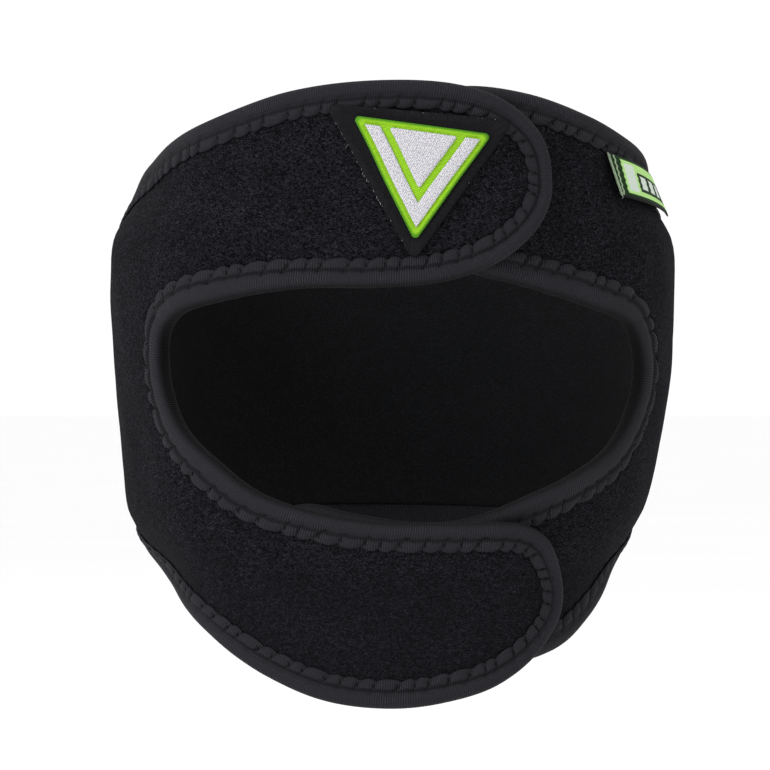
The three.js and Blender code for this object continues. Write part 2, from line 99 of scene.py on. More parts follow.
# The strap's edge, stretch by stretch: side (-1 left arms, 1 right arms), columns, and rows of turn and level
outline = {
    "leftUpperOuter": (-1, 17, [(32.5, 1.51), (31.4, 1.67), (28.2, 1.8), (21.5, 1.92), (12, 1.986), (-4, 2),
                                (-21, 1.952), (-39.5, 1.815)]),
    "leftUpperBack": (-1, 19, [(-59, 1.685), (-77, 1.57), (-104, 1.41), (-145, 1.28)]),
    "rightUpperBack": (1, 19, [(180, 1.26), (145, 1.28), (105, 1.4), (81, 1.62)]),
    "rightUpperOuter": (1, 16, [(69, 1.7), (57, 1.77), (45.5, 1.85), (30, 1.947), (17, 1.98), (4, 1.94),
                                (-9, 1.85), (-17, 1.71)]),
    "rightUpperInner": (1, 16, [(-20, 1.54), (-17.5, 1.38), (-10, 1.23), (2, 1.13), (17.5, 1.067),
                                (30.5, 1.01), (44, 0.86), (54.2, 0.71), (59.1, 0.43)]),
    "rightLowerInner": (1, 16, [(60, 0.16), (57.8, -0.115), (52.6, -0.395), (44, -0.61), (33.3, -0.795),
                                (20.5, -0.965), (8, -1.003), (-8, -0.924), (-18.5, -0.85), (-27, -0.96)]),
    "rightLowerOuter": (1, 16, [(-31.5, -1.18), (-29.5, -1.42), (-20, -1.64), (-4, -1.77), (14, -1.81),
                                (30, -1.785), (47.5, -1.69), (59, -1.55)]),
    "rightLowerBack": (1, 19, [(68.5, -1.435), (77, -1.34), (92, -1.23), (135, -1.13)]),
    "leftLowerBack": (-1, 19, [(-180, -1.1), (-135, -1.12), (-95, -1.2), (-74, -1.3)]),
    "leftLowerOuter": (-1, 17, [(-58, -1.455), (-44, -1.6), (-27.6, -1.828), (-14, -1.958), (1, -2),
                                (13.5, -1.972), (26.3, -1.88), (35.8, -1.712), (40.8, -1.52)]),
    "leftLowerInner": (-1, 17, [(41.1, -1.36), (38.8, -1.21), (34.5, -1.075), (29, -1.01), (13, -1.003),
                                (-2.5, -0.99), (-16, -0.9), (-27.2, -0.76), (-36, -0.52), (-45, -0.22),
                                (-49.6, 0.1)]),
    "leftUpperInner": (-1, 17, [(-50.9, 0.38), (-49.7, 0.61), (-45.1, 0.785), (-33.4, 0.92), (-20, 0.992),
                                (-3, 0.998), (11, 1.032), (21.2, 1.123), (28, 1.26), (31.6, 1.4)]),
}


# Height of a level: a share of the opening's half height up to 1, then a share of the band
def riseOf(level):
    level = np.asarray(level, float)
    opening = np.where(level < 0, strap["openingDrop"], strap["openingRise"])
    reach = np.where(level < 0, strap["lowerReach"], strap["upperReach"])
    size = np.abs(level)
    return np.sign(level) * np.where(size < 1, size * opening, opening + (size - 1) * (reach - opening))


# Level of a height, the inverse of riseOf
def levelOf(rise):
    rise = np.asarray(rise, float)
    opening = np.where(rise < 0, strap["openingDrop"], strap["openingRise"])
    reach = np.where(rise < 0, strap["lowerReach"], strap["upperReach"])
    size = np.abs(rise)
    return np.sign(rise) * np.where(size < opening, size / opening, 1 + (size - opening) / (reach - opening))


# Cubic through the section table, with each row's slope taken from its two neighbours
def sectionAt(column, level):
    levels, values = kneeSections[:, 0], kneeSections[:, column]
    before = np.maximum(np.arange(len(levels)) - 1, 0)
    after = np.minimum(np.arange(len(levels)) + 1, len(levels) - 1)
    slope = (values[after] - values[before]) / (levels[after] - levels[before])
    row = np.clip(np.searchsorted(levels, level, side="right") - 1, 0, len(levels) - 2)
    span = levels[row + 1] - levels[row]
    t = np.clip((level - levels[row]) / span, 0, 1)
    rise = t * t * (3 - 2 * t)
    bend = t * (1 - t) ** 2 * span * slope[row] + t * t * (t - 1) * span * slope[row + 1]
    return values[row] + rise * (values[row + 1] - values[row]) + bend


# Smooth step from 0 at low to 1 at high
def easeBetween(value, low, high):
    t = np.clip((value - low) / (high - low), 0, 1)
    return t * t * (3 - 2 * t)


# Wrap is measured round the leg from the middle of the back, positive towards the right arms
def wrapOf(side, turn):
    return side * 180 - np.asarray(turn, float)


# The left arms climb over the right ones by a smooth step of the wrap
def liftAt(wrap):
    return lapLift * easeBetween(-wrap, 180 + strap["lapStart"], 180 + strap["lapEnd"])


# Radius of a squarish oval: (|sin / half width|^n + |cos / half depth|^n)^(-1/n)
def radiusAt(wrap, rise, offset):
    level, turn = levelOf(rise), np.radians(180 - wrap)
    halfWidth = sectionAt(1, level) * knee["width"] / 2 + offset
    halfDepth = sectionAt(2, level) * knee["depth"] / 2 + offset
    n = knee["roundness"]
    return (np.abs(np.sin(turn) / halfWidth) ** n + np.abs(np.cos(turn) / halfDepth) ** n) ** (-1 / n)


# Point in metres at an offset from the leg: radius times (sin, -cos) of the turn, and the rise
def onLeg(wrap, rise, offset):
    wrap, rise, offset = np.broadcast_arrays(wrap, rise, offset)
    radius = radiusAt(wrap, rise, offset + liftAt(wrap))
    turn = np.radians(180 - wrap)
    lean = sectionAt(3, levelOf(rise)) * knee["width"] / 2
    return np.stack([radius * np.sin(turn) + lean, -radius * np.cos(turn), rise], axis=-1) / 1000


# Degrees of wrap that one millimetre takes
def wrapPerMillimetre(wrap, rise):
    return np.degrees(1 / radiusAt(wrap, rise, foamTop + liftAt(wrap)))


# Dense closed curve of the edge: centripetal Catmull-Rom through the outline's rows on the unwound plane
def edgeCurve(samples=60):
    flatScale = knee["width"] / 2 * math.pi / 180
    knots = np.array([(wrapOf(side, turn) * flatScale, riseOf(level))
                      for side, columns, rows in outline.values() for turn, level in rows])
    p0, p1, p2, p3 = (np.roll(knots, shift, axis=0) for shift in (1, 0, -1, -2))
    gap = lambda a, b: np.sqrt(np.linalg.norm(b - a, axis=1))[:, None]
    g0, g1, g2 = gap(p0, p1), gap(p1, p2), gap(p2, p3)
    leave = ((p1 - p0) / g0 - (p2 - p0) / (g0 + g1) + (p2 - p1) / g1) * g1
    arrive = ((p2 - p1) / g1 - (p3 - p1) / (g1 + g2) + (p3 - p2) / g2) * g1
    t = (np.arange(samples) / samples)[None, :, None]
    p1, p2, leave, arrive = (p[:, None, :] for p in (p1, p2, leave, arrive))
    points = ((2 * t ** 3 - 3 * t ** 2 + 1) * p1 + (t ** 3 - 2 * t ** 2 + t) * leave
              + (3 * t ** 2 - 2 * t ** 3) * p2 + (t ** 3 - t ** 2) * arrive).reshape(-1, 2)
    wrap, rise = points[:, 0] / flatScale, points[:, 1]
    across = (np.roll(wrap, -1) - np.roll(wrap, 1)) / wrapPerMillimetre(wrap, rise)
    up = np.roll(rise, -1) - np.roll(rise, 1)
    inward = np.stack([up, -across], axis=1) / np.hypot(across, up)[:, None]
    spots = onLeg(wrap, rise, foamTop) * 1000
    steps = np.linalg.norm(np.roll(spots, -1, axis=0) - spots, axis=1)
    return {"wrap": wrap, "rise": rise, "inward": inward, "run": np.concatenate([[0], np.cumsum(steps)]),
            "samples": samples}


# Stations of the curve at given runs, in millimetres along it
def stationsAt(curve, run):
    table = np.column_stack([curve["wrap"], curve["rise"], curve["inward"]])
    table = np.vstack([table, table[:1]])
    wrap, rise, inX, inY = (np.interp(run, curve["run"], column) for column in table.T)
    size = np.hypot(inX, inY)
    return {"wrap": wrap, "rise": rise, "inward": np.stack([inX / size, inY / size], axis=-1), "run": run}


# Places some millimetres inward of stations
def insetPlaces(stations, inset):
    wrap, rise = stations["wrap"], stations["rise"]
    if np.ndim(inset) == 2:
        wrap, rise, inward = wrap[:, None], rise[:, None], stations["inward"][:, None, :]
    else:
        inward = stations["inward"]
    return (wrap + inward[..., 0] * inset * wrapPerMillimetre(wrap, rise), rise + inward[..., 1] * inset)


# Quads of a grid whose point (i, j) has number i * rows + j, closed round either way if asked
def gridQuads(columns, rows, loopColumns=False, loopRows=False):
    i = np.arange(columns if loopColumns else columns - 1)[:, None]
    j = np.arange(rows if loopRows else rows - 1)[None, :]
    nextI, nextJ = (i + 1) % columns, (j + 1) % rows
    corners = [i * rows + j, nextI * rows + j, nextI * rows + nextJ, i * rows + nextJ]
    return np.stack(corners, axis=-1).reshape(-1, 4)


# Map of a grid, from its two values at each point, taken to the four corners of every face
def cornerMap(first, second, shape):
    values = np.stack([np.broadcast_to(first, shape), np.broadcast_to(second, shape)], axis=-1)
    return values.reshape(-1, 2)[gridQuads(*shape)].reshape(-1, 2)


# Strip of four-sided faces that closes a ring with an even count of points
def closingStrip(count):
    k = np.arange(count // 2 - 1)
    return np.stack([k, k + 1, count - 2 - k, count - 1 - k], axis=-1)


# Mesh object from arrays, welded, with its faces turned outward
def newPiece(name, points, quads, materials, uvs=None, faceMaterials=None):
    mesh = bpy.data.meshes.new(name)
    mesh.vertices.add(len(points))
    mesh.vertices.foreach_set("co", np.ascontiguousarray(points, np.float32).ravel())
    mesh.loops.add(quads.size)
    mesh.loops.foreach_set("vertex_index", quads.astype(np.int32).ravel())
    mesh.polygons.add(len(quads))
    mesh.polygons.foreach_set("loop_start", np.arange(len(quads), dtype=np.int32) * 4)
    mesh.polygons.foreach_set("use_smooth", np.ones(len(quads), bool))
    if faceMaterials is not None:
        mesh.polygons.foreach_set("material_index", faceMaterials.astype(np.int32))
    mesh.update(calc_edges=True)
    for uvName, uv in (uvs or {}).items():
        mesh.uv_layers.new(name=uvName).data.foreach_set("uv", uv.astype(np.float32).ravel())
    worked = bmesh.new()
    worked.from_mesh(mesh)
    bmesh.ops.remove_doubles(worked, verts=worked.verts, dist=2e-6)
    bmesh.ops.dissolve_degenerate(worked, edges=worked.edges, dist=1e-7)
    bmesh.ops.recalc_face_normals(worked, faces=worked.faces)
    worked.to_mesh(mesh)
    worked.free()
    for material in materials:
        mesh.materials.append(material)
    piece = bpy.data.objects.new(name, mesh)
    bpy.context.scene.collection.objects.link(piece)
    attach(piece, "root")
    return piece


# Vectors brought to a length of 1
def unit(vectors):
    return vectors / np.linalg.norm(vectors, axis=-1, keepdims=True)


# Directions round a path, evenly spaced: cos(angle) * first + sin(angle) * second
def ringRound(first, second, sides):
    angle = (np.arange(sides) * 2 * math.pi / sides)[:, None]
    return np.cos(angle) * first[..., None, :] + np.sin(angle) * second[..., None, :]


# Tube round a closed path: each ring stands square to the path, at the radius from it
def tubeRings(path, normal, radius, sides):
    tangent = np.roll(path, -1, axis=0) - np.roll(path, 1, axis=0)
    side = unit(np.cross(tangent, normal))
    return path[:, None, :] + radius * ringRound(unit(np.cross(side, tangent)), side, sides)


# Outward direction of the leg's surface, by two nearby points
def outwardAt(wrap, rise):
    return unit(onLeg(wrap, rise, foamTop + 1) - onLeg(wrap, rise, foamTop))


curve = edgeCurve()
edgeLength = curve["run"][-1]
print(f"stage: edge curve worked out, {edgeLength:.0f} mm round")


# A node with its settings, each input linked to a socket or set to a value
def addNode(tree, kind, values=None, **settings):
    made = tree.nodes.new(kind)
    for key, value in settings.items():
        setattr(made, key, value)
    for key, value in (values or {}).items():
        if isinstance(value, bpy.types.NodeSocket):
            tree.links.new(value, made.inputs[key])
        else:
            made.inputs[key].default_value = value
    return made


# One operation on its values; MULTIPLY_ADD is first * second + third
def maths(tree, operation, *values):
    return addNode(tree, "ShaderNodeMath", dict(enumerate(values)), operation=operation).outputs[0]


# All the values multiplied together
def product(tree, made, *others):
    for other in others:
        made = maths(tree, "MULTIPLY", made, other)
    return made


# Smooth step from toLow to toHigh while the value goes from fromLow to fromHigh
def remap(tree, value, fromLow, fromHigh, toLow=0.0, toHigh=1.0):
    values = {"Value": value, "From Min": fromLow, "From Max": fromHigh, "To Min": toLow, "To Max": toHigh}
    return addNode(tree, "ShaderNodeMapRange", values, interpolation_type="SMOOTHSTEP").outputs["Result"]


# A mask from 0 to 1 brought to between a low share and 1
def softened(tree, mask, low):
    return remap(tree, mask, 0, 1, low, 1.0)


# Smooth step up from the first place to the second, times a smooth step down from the third to the fourth
def bandOf(tree, value, places):
    return product(tree, remap(tree, value, *places[:2]), remap(tree, value, *places[2:], 1.0, 0.0))


# The first color where the share is 0, the second where it is 1
def blendColors(tree, share, first, second):
    opaque = [(*color, 1) if isinstance(color, tuple) else color for color in (first, second)]
    return addNode(tree, "ShaderNodeMix", {0: share, 6: opaque[0], 7: opaque[1]}, data_type="RGBA").outputs[2]


# The first value where the share is 0, the second where it is 1
def blendValues(tree, share, first, second):
    return addNode(tree, "ShaderNodeMix", {0: share, 2: first, 3: second}).outputs[0]


# Fractal noise of a place, between 0 and 1
def noise(tree, place, scale, detail=2.0, roughness=0.5, distortion=0.0):
    values = {"Vector": place, "Scale": scale, "Detail": detail, "Roughness": roughness,
              "Distortion": distortion}
    return addNode(tree, "ShaderNodeTexNoise", values).outputs[0]


# The parts of a place, by the names X, Y and Z
def partsOf(tree, place):
    return addNode(tree, "ShaderNodeSeparateXYZ", {0: place}).outputs


# Empty node group with its inputs (name, kind, default) and outputs (name, kind)
def newGroup(name, inputs, outputs):
    tree = bpy.data.node_groups.new(name, "ShaderNodeTree")
    kinds = {"value": "NodeSocketFloat", "vector": "NodeSocketVector"}
    for socketName, kind, default in inputs:
        socket = tree.interface.new_socket(socketName, in_out="INPUT", socket_type=kinds[kind])
        if default is not None:
            socket.default_value = default
    for socketName, kind in outputs:
        tree.interface.new_socket(socketName, in_out="OUTPUT", socket_type=kinds[kind])
    return tree, tree.nodes.new("NodeGroupInput").outputs, tree.nodes.new("NodeGroupOutput").inputs


# Outputs of a shared node group, given its values
def useGroup(tree, group, values):
    return addNode(tree, "ShaderNodeGroup", values, node_tree=group).outputs


# What the shared effects are made of: nap, threads and specks
effectLook = {
    "napStretch": (1, 1, 1.7),  # fibres lie round the leg more than along it
    "napDetail": 4.0,
    "napRoughness": 0.62,
    "napTwist": 1.6,
    "napTips": (0.41, 0.74),  # noise between which the tips come out
    "patchScale": 0.07,  # as a share of the fibres' own
    "patchRange": (0.3, 0.7),
    "patchHeight": 0.2,
    "waverScale": 0.8,
    "glintScale": 1.1,
    "glintStretch": 0.5,
    "glintRange": (0.35, 0.65),
    "speckRoughness": 0.7,
    "speckSoftness": 0.06,
}


# Short brushed fibres: two noises, one of fibres and one of broad patches
def makeNapGroup():
    look = effectLook
    tree, given, wanted = newGroup("brushedNap",
                                   [("Coordinates", "vector", None), ("Fibre size", "value", 0.001)],
                                   [("Fibre", "value"), ("Patch", "value"), ("Height", "value")])
    scale = maths(tree, "DIVIDE", 1.0, given["Fibre size"])
    flattened = addNode(tree, "ShaderNodeVectorMath", {0: given["Coordinates"], 1: look["napStretch"]},
                        operation="MULTIPLY").outputs[0]
    fine = noise(tree, flattened, scale, look["napDetail"], look["napRoughness"], look["napTwist"])
    broad = noise(tree, given["Coordinates"], product(tree, scale, look["patchScale"]))
    tree.links.new(remap(tree, fine, *look["napTips"]), wanted["Fibre"])
    tree.links.new(remap(tree, broad, *look["patchRange"]), wanted["Patch"])
    patches = product(tree, broad, look["patchHeight"])
    tree.links.new(maths(tree, "MULTIPLY_ADD", fine, 1 - look["patchHeight"], patches), wanted["Height"])
    return tree


# Threads laid side by side: a sine across them, wavered by noise, and a glint that runs along them
def makeThreadGroup():
    look = effectLook
    tree, given, wanted = newGroup("threadLay", [("Coordinates", "vector", None), ("Angle", "value", 0.0),
                                                 ("Pitch", "value", 0.4), ("Waver", "value", 1.0)],
                                   [("Ridge", "value"), ("Glint", "value")])
    values = {"Vector": given["Coordinates"], "Angle": given["Angle"]}
    turned = addNode(tree, "ShaderNodeVectorRotate", values, rotation_type="Z_AXIS").outputs[0]
    parts = partsOf(tree, turned)
    waver = noise(tree, given["Coordinates"], look["waverScale"], detail=1.0)
    shift = product(tree, maths(tree, "SUBTRACT", waver, 0.5), given["Waver"])
    phase = maths(tree, "DIVIDE", maths(tree, "ADD", parts["X"], shift), given["Pitch"])
    wave = maths(tree, "SINE", product(tree, phase, 2 * math.pi))
    tree.links.new(maths(tree, "MULTIPLY_ADD", wave, 0.5, 0.5), wanted["Ridge"])
    stretched = addNode(tree, "ShaderNodeCombineXYZ",
                        {"X": phase, "Y": product(tree, parts["Y"], look["glintStretch"])}).outputs[0]
    glint = noise(tree, stretched, look["glintScale"])
    tree.links.new(remap(tree, glint, *look["glintRange"]), wanted["Glint"])
    return tree


# Scattered specks: noise above a threshold
def makeSpeckGroup():
    tree, given, wanted = newGroup("speckles", [("Coordinates", "vector", None), ("Scale", "value", 2.0),
                                                ("Threshold", "value", 0.62)], [("Mask", "value")])
    found = noise(tree, given["Coordinates"], given["Scale"], roughness=effectLook["speckRoughness"])
    over = maths(tree, "SUBTRACT", found, given["Threshold"])
    tree.links.new(remap(tree, over, 0.0, effectLook["speckSoftness"]), wanted["Mask"])
    return tree


# Soft-edged rectangle on a map: product of four smooth steps
def makeCellGroup():
    sides = [("Left", "value", 0.0), ("Right", "value", 1.0), ("Bottom", "value", 0.0), ("Top", "value", 1.0)]
    inputs = [("Place", "vector", None), ("Softness", "value", 0.02)] + sides
    tree, given, wanted = newGroup("wovenCell", inputs, [("Mask", "value")])
    parts = partsOf(tree, given["Place"])
    insides = []
    for axis, low, high in (("X", "Left", "Right"), ("Y", "Bottom", "Top")):
        for larger, smaller in ((parts[axis], given[low]), (given[high], parts[axis])):
            distance = maths(tree, "DIVIDE", maths(tree, "SUBTRACT", larger, smaller), given["Softness"])
            insides.append(remap(tree, distance, -0.5, 0.5))
    tree.links.new(product(tree, *insides), wanted["Mask"])
    return tree


napGroup, threadGroup = makeNapGroup(), makeThreadGroup()
speckGroup, cellGroup = makeSpeckGroup(), makeCellGroup()


# Nap of brushed fibres at the object's own places
def napOf(tree, fibreSize):
    return useGroup(tree, napGroup, {"Coordinates": objectPlace(tree), "Fibre size": fibreSize})


# Threads of a lay: its angle in radians, pitch and waver
def threadsOf(tree, place, lay):
    return useGroup(tree, threadGroup, {"Coordinates": place, **dict(zip(("Angle", "Pitch", "Waver"), lay))})


# Mask of specks, given their scale and threshold
def specksOf(tree, place, scale, threshold):
    return useGroup(tree, speckGroup, {"Coordinates": place, "Scale": scale, "Threshold": threshold})["Mask"]


# Material whose even values are set on the shader's own sockets
def newMaterial(name, roughness, specular=0.5, more=None):
    material = bpy.data.materials.new(name)
    material.use_nodes = True
    tree = material.node_tree
    shader = tree.nodes["Principled BSDF"]
    sockets = {"Roughness": roughness, "Specular IOR Level": specular, **(more or {})}
    for key, value in sockets.items():
        shader.inputs[key].default_value = value
    return material, tree, shader


# The same for a cloth, with its sheen
def newCloth(name, look):
    sheen = {"Sheen Weight": look["sheen"], "Sheen Roughness": look["sheenRoughness"],
             "Sheen Tint": (*look["sheenTint"], 1)}
    return newMaterial(name, look["roughness"], look["specular"], sheen)


# Places in the object's own frame, in metres
def objectPlace(tree):
    return addNode(tree, "ShaderNodeTexCoord").outputs["Object"]


# Places on one of the piece's own maps
def mapPlace(tree, uvName):
    return addNode(tree, "ShaderNodeUVMap", uv_map=uvName).outputs[0]


# Color to the shader, and a height as a bump of a strength and a depth in metres
def finishSurface(tree, shader, color, height=None, bump=(0, 0)):
    tree.links.new(color, shader.inputs["Base Color"])
    if height is not None:
        values = {"Height": height, "Strength": bump[0], "Distance": bump[1]}
        tree.links.new(addNode(tree, "ShaderNodeBump", values).outputs[0], shader.inputs["Normal"])


# Brushed loop fabric: share of pale tips = fibre * lay, mixed towards an even share where the cloth is calm
def makeFabric(name, look):
    material, tree, shader = newCloth(name, look)
    nap = napOf(tree, look["fibreSize"])
    fine = product(tree, nap["Fibre"], softened(tree, nap["Patch"], look["layShade"]))
    if look["calm"] > 0:
        height = partsOf(tree, objectPlace(tree))["Z"]
        calm = remap(tree, height, *look["calmHeights"], look["calm"], 0.0)
        fine = blendValues(tree, calm, fine, look["evenShare"])
    color = blendColors(tree, fine, look["ground"], look["tips"])
    finishSurface(tree, shader, color, nap["Height"], look["bump"])
    return material


panelLook = {
    "outer": {"ground": (0.0016, 0.0015, 0.002), "tips": (0.0275, 0.026, 0.032), "fibreSize": 0.0007,
              "roughness": 0.95, "sheen": 0.012, "sheenRoughness": 0.5, "sheenTint": (0.5, 0.5, 0.55),
              "specular": 0.02, "bump": (0.5, 0.0005), "layShade": 0.78,
              "calm": 0.42, "evenShare": 0.17, "calmHeights": (-0.045, -0.025)},  # heights in metres
    "legSide": {"ground": (0.002, 0.002, 0.0024), "tips": (0.012, 0.012, 0.014), "fibreSize": 0.0005,
                "roughness": 0.85, "sheen": 0.03, "sheenRoughness": 0.5, "sheenTint": (0.5, 0.5, 0.52),
                "specular": 0.08, "bump": (0.3, 0.0003), "layShade": 0.78, "calm": 0},
    "columnsEach": 7,  # finer columns for each of the outline's own
    "rows": 24,
    "foamInset": 1.4,
    "sewnInset": 6.1,
    "shoulder": 1.7,  # mm over which the foam swells back beside the tape
    "pucker": 0.2,
    "puckerReach": 1.3,  # in shoulders
    "scallop": 4.5,  # mm between two stitches
    "endFade": 18,  # how fast the pinch leaves the ends of the back's middle line
    "unevenness": 0.16,
    "unevenFrom": 5,  # mm from a seam over which the unevenness sets in
    "legSideUneven": 0.3,  # the leg side's share of it
    "legSideShift": 40,  # degrees by which its waves are turned
    "broadWave": (0.19, 0.11),  # rates over wrap and rise
    "crossWave": (0.17, 1.3),  # rate over rise, and start
    "fineWave": (0.41, 0.23, 0.7, 0.5),  # rates over wrap and rise, start, and share
}
scallopCount = round(edgeLength / panelLook["scallop"])
scallopPitch = edgeLength / scallopCount


# Stations of each stretch, evenly spaced by the curve's run
def stretchStations():
    found, first = {}, 0
    for name, (side, columns, rows) in outline.items():
        last = first + len(rows) * curve["samples"]
        share = np.linspace(0, 1, columns * panelLook["columnsEach"] + 1)
        run = curve["run"][first] + share * (curve["run"][last] - curve["run"][first])
        found[name] = stationsAt(curve, run)
        first = last
    return found


# Gentle hand-made unevenness: a product of two sines of wrap and rise, and a finer sine
def unevenness(wrap, rise):
    (wrapRate, riseRate), (crossRate, crossStart) = panelLook["broadWave"], panelLook["crossWave"]
    fineWrap, fineRise, fineStart, fineShare = panelLook["fineWave"]
    broad = np.sin(wrap * wrapRate + rise * riseRate) * np.sin(rise * crossRate + crossStart)
    fine = np.sin(wrap * fineWrap - rise * fineRise + fineStart)
    return panelLook["unevenness"] * (broad + fineShare * fine)


# Beside a seam: pinch = exp(-distance / shoulder), pull of the stitches, and how far the foam is free of it
def besideSeam(distance, run):
    stitch = 0.5 + 0.5 * np.cos(2 * math.pi * run[:, None] / scallopPitch)
    pull = np.exp(-distance / (panelLook["puckerReach"] * panelLook["shoulder"])) * stitch
    return np.exp(-distance / panelLook["shoulder"]), pull, 1 - np.exp(-distance / panelLook["unevenFrom"])


# Arms and back ruled between inset lines; thickness = full, less the pinch and the pull on both sides
def buildPanel():
    stretches = stretchStations()
    lines = {}
    for name, stations in stretches.items():
        wrap, rise = insetPlaces(stations, panelLook["sewnInset"])
        lines[name] = np.stack([wrap, rise, stations["run"]], axis=1)
    rows = panelLook["rows"]
    share = 0.5 - 0.5 * np.cos(math.pi * np.arange(rows + 1) / rows)
    leftApex, rightApex = lines["leftUpperInner"][0], lines["rightLowerInner"][0]
    backColumns = len(lines["leftUpperBack"]) + len(lines["rightUpperBack"]) - 2
    along = (np.arange(backColumns + 1) / backColumns)[:, None]
    middle = leftApex + (rightApex - leftApex) * along
    upperBack = np.vstack([lines["leftUpperBack"], lines["rightUpperBack"][1:]])
    lowerBack = np.vstack([lines["rightLowerBack"], lines["leftLowerBack"][1:]])[::-1]
    pairs = [(lines[arm + "Outer"], lines[arm + "Inner"][::-1], True)
             for arm in ("leftUpper", "rightUpper", "leftLower", "rightLower")]
    pairs += [(upperBack, middle, False), (lowerBack, middle, False)]
    points, quads, faceMaterials, count = [], [], [], 0

    def add(grid, loopColumns, material):
        nonlocal count
        made = gridQuads(grid.shape[0], grid.shape[1], loopColumns)
        points.append(grid.reshape(-1, 3))
        quads.append(made + count)
        faceMaterials.append(np.full(len(made), material))
        count += grid.shape[0] * grid.shape[1]

    for first, second, sewnBothWays in pairs:
        wrap, rise = (first[:, None, k] + (second[:, None, k] - first[:, None, k]) * share for k in (0, 1))
        across = (second[:, 0] - first[:, 0]) / wrapPerMillimetre(first[:, 0], first[:, 1])
        span = np.hypot(across, second[:, 1] - first[:, 1])[:, None]
        far = (1 - share) * span
        fade, pull, free = besideSeam(share * span, first[:, 2])
        if sewnBothWays:
            farFade, farPull, farFree = besideSeam(far, second[:, 2])
            fade, pull, free = np.maximum(fade, farFade), np.maximum(pull, farPull), free * farFree
        else:  # the middle line of the back lies in open foam, apart from its two ends
            ends = np.exp(-2 * np.minimum(along, 1 - along) * panelLook["endFade"])
            ends = ends * np.exp(-far / panelLook["shoulder"])
            fade, free = np.maximum(fade, ends), free * (1 - ends)
        pinch = strap["foamPinch"] * fade + panelLook["pucker"] * pull * (1 - fade)
        top = foamTop - pinch + free * unevenness(wrap, rise)
        under = panelLook["legSideUneven"] * free * unevenness(wrap + panelLook["legSideShift"], rise)
        add(onLeg(wrap, rise, top), False, 0)
        add(onLeg(wrap, rise, strap["legGap"] + pinch + under), False, 1)
    border = {key: np.concatenate([stations[key][:-1] for stations in stretches.values()])
              for key in ("wrap", "rise", "inward")}
    edge, sewn = (insetPlaces(border, panelLook[key]) for key in ("foamInset", "sewnInset"))
    wrap, rise = np.stack([edge[0], sewn[0]], 1), np.stack([edge[1], sewn[1]], 1)
    rim = np.array([foamTop - strap["foamPinch"], strap["legGap"] + strap["foamPinch"]])
    add(onLeg(wrap, rise, rim[0]), True, 0)
    add(onLeg(wrap, rise, rim[1]), True, 1)
    add(onLeg(wrap[:, :1], rise[:, :1], rim[None, :]), True, 0)
    materials = [makeFabric("brushedFoamFabric", panelLook["outer"]),
                 makeFabric("legSideJersey", panelLook["legSide"])]
    panel = newPiece("neoprenePanelCloth", np.concatenate(points), np.concatenate(quads), materials,
                     faceMaterials=np.concatenate(faceMaterials))
    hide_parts("neoprene_panel")


buildPanel()
print("stage: neoprene panel made")

tapeLook = {
    "spacing": 0.52,  # mm between stations
    "steps": 2,  # points for each row of the profile
    "ribsPerScallop": 8,
    "ribWaver": 0.06,
    "ribLean": 0.12,
    "ribDepth": (0.2, 0.5),
    "ground": (0.0095, 0.009, 0.011),
    "ribs": (0.0365, 0.035, 0.042),
    # the slit colour is the colour of the painted shade in the stitch slits, the valley and on the leg side
    "slit": (0.0012, 0.0012, 0.0014),
    "fibreSize": 0.0006,
    "fibreShade": 0.45,
    "patchShade": 0.65,
    "roughness": 0.85,
    "sheen": 0.025,
    "sheenRoughness": 0.35,
    "sheenTint": (0.5, 0.5, 0.52),
    "specular": 0.08,
    "bump": (0.8, 0.00022),
    "napHeight": 0.35,
    "slitHeight": 1.5,
    "flangeBand": (0.2, 1.0, 3.0, 4.0),  # bands are mm round the profile, from the tape's end
    "pitFade": (0.9, 2.6, 0.3, 1.0),  # mm between which the slits deepen, and their two shares
    "pitPatch": 0.45,
    "slitEdge": (0.01, 0.9),  # a slit begins at so many lobes, and ends at so many slit widths
    # painted shade in the stitch slits, in the valley and on the leg side: shares, and bands in mm round the
    # profile
    "slitShade": 0.85,
    "valleyBand": (2.5, 3.1, 3.4, 4.0),
    "valleyShade": 0.55,
    "legSideBand": (5.9, 8.2),
    "legSideShade": 0.1,  # painted shade: round the opening, the half that faces the leg is this much as bright
    "openingBand": (1.03, 1.15),  # levels between which the edge is no longer the opening's
    "lobeReach": 0.7,  # how far each lobe's end swings in and out, mm
    "lobeMiddle": 0.8,
    "lobeRoundness": 0.7,
    "lobeCrown": 0.3,
    "flangeGain": 1.4,
    "fullerRoll": 0.9,  # at the opening's sides the roll reaches this much further in, mm
    "fullerFrom": (12, 38),  # degrees from the front over which that sets in
    "slitDepth": 0.38,
    "slitWidth": 0.13,
    "slitFrom": 3.2,  # mm from the edge
    "valleyCut": 0.25,
    "coverFrom": 1.6,  # from here inwards the tape stays above the fabric
    "coverDepth": 0.02,
    "slant": 0.12,  # lobes that a stitch leans by for each mm
    "wobble": 0.15,
    "wobbleWaves": ((83, 0, 1), (151, 1, 0.7)),  # waves round the strap, start, and share
}
# Profile of the folded tape: inset from the edge, offset from the leg, and how much it moves with the lobes
# and with the fuller roll at the sides of the opening
tapeProfile = np.array([
    (6.2, tapeRoof, 1, 0),
    (6.35, tapeRoof + 0.35, 1, 0),
    (5.5, tapeRoof + 0.72, 0.8, 0),
    (4.5, tapeRoof + 0.72, 0.5, 0),
    (3.6, tapeRoof + 0.32, 0.2, 0),
    (2.95, tapeRoof + 0.72, 0, 0.2),
    (2.1, tapeRoof + 0.88, 0, 0.5),
    (1.0, tapeRoof + 0.55, 0, 0.9),
    (0.25, tapeRoof - 0.35, 0, 1),
    (0, (tapeRoof + tapeFloor) / 2, 0, 1),
    (0.25, tapeFloor + 0.35, 0, 1),
    (1.0, tapeFloor - 0.5, 0, 0.9),
    (2.4, tapeFloor - 0.8, 0, 0.4),
    (4.2, tapeFloor - 0.55, 0, 0),
    (5.6, tapeFloor - 0.4, 0, 0),
    (5.6, tapeFloor, 0, 0),
    (1.1, tapeFloor, 0, 0),
    (1.1, tapeRoof, 0, 0),
])
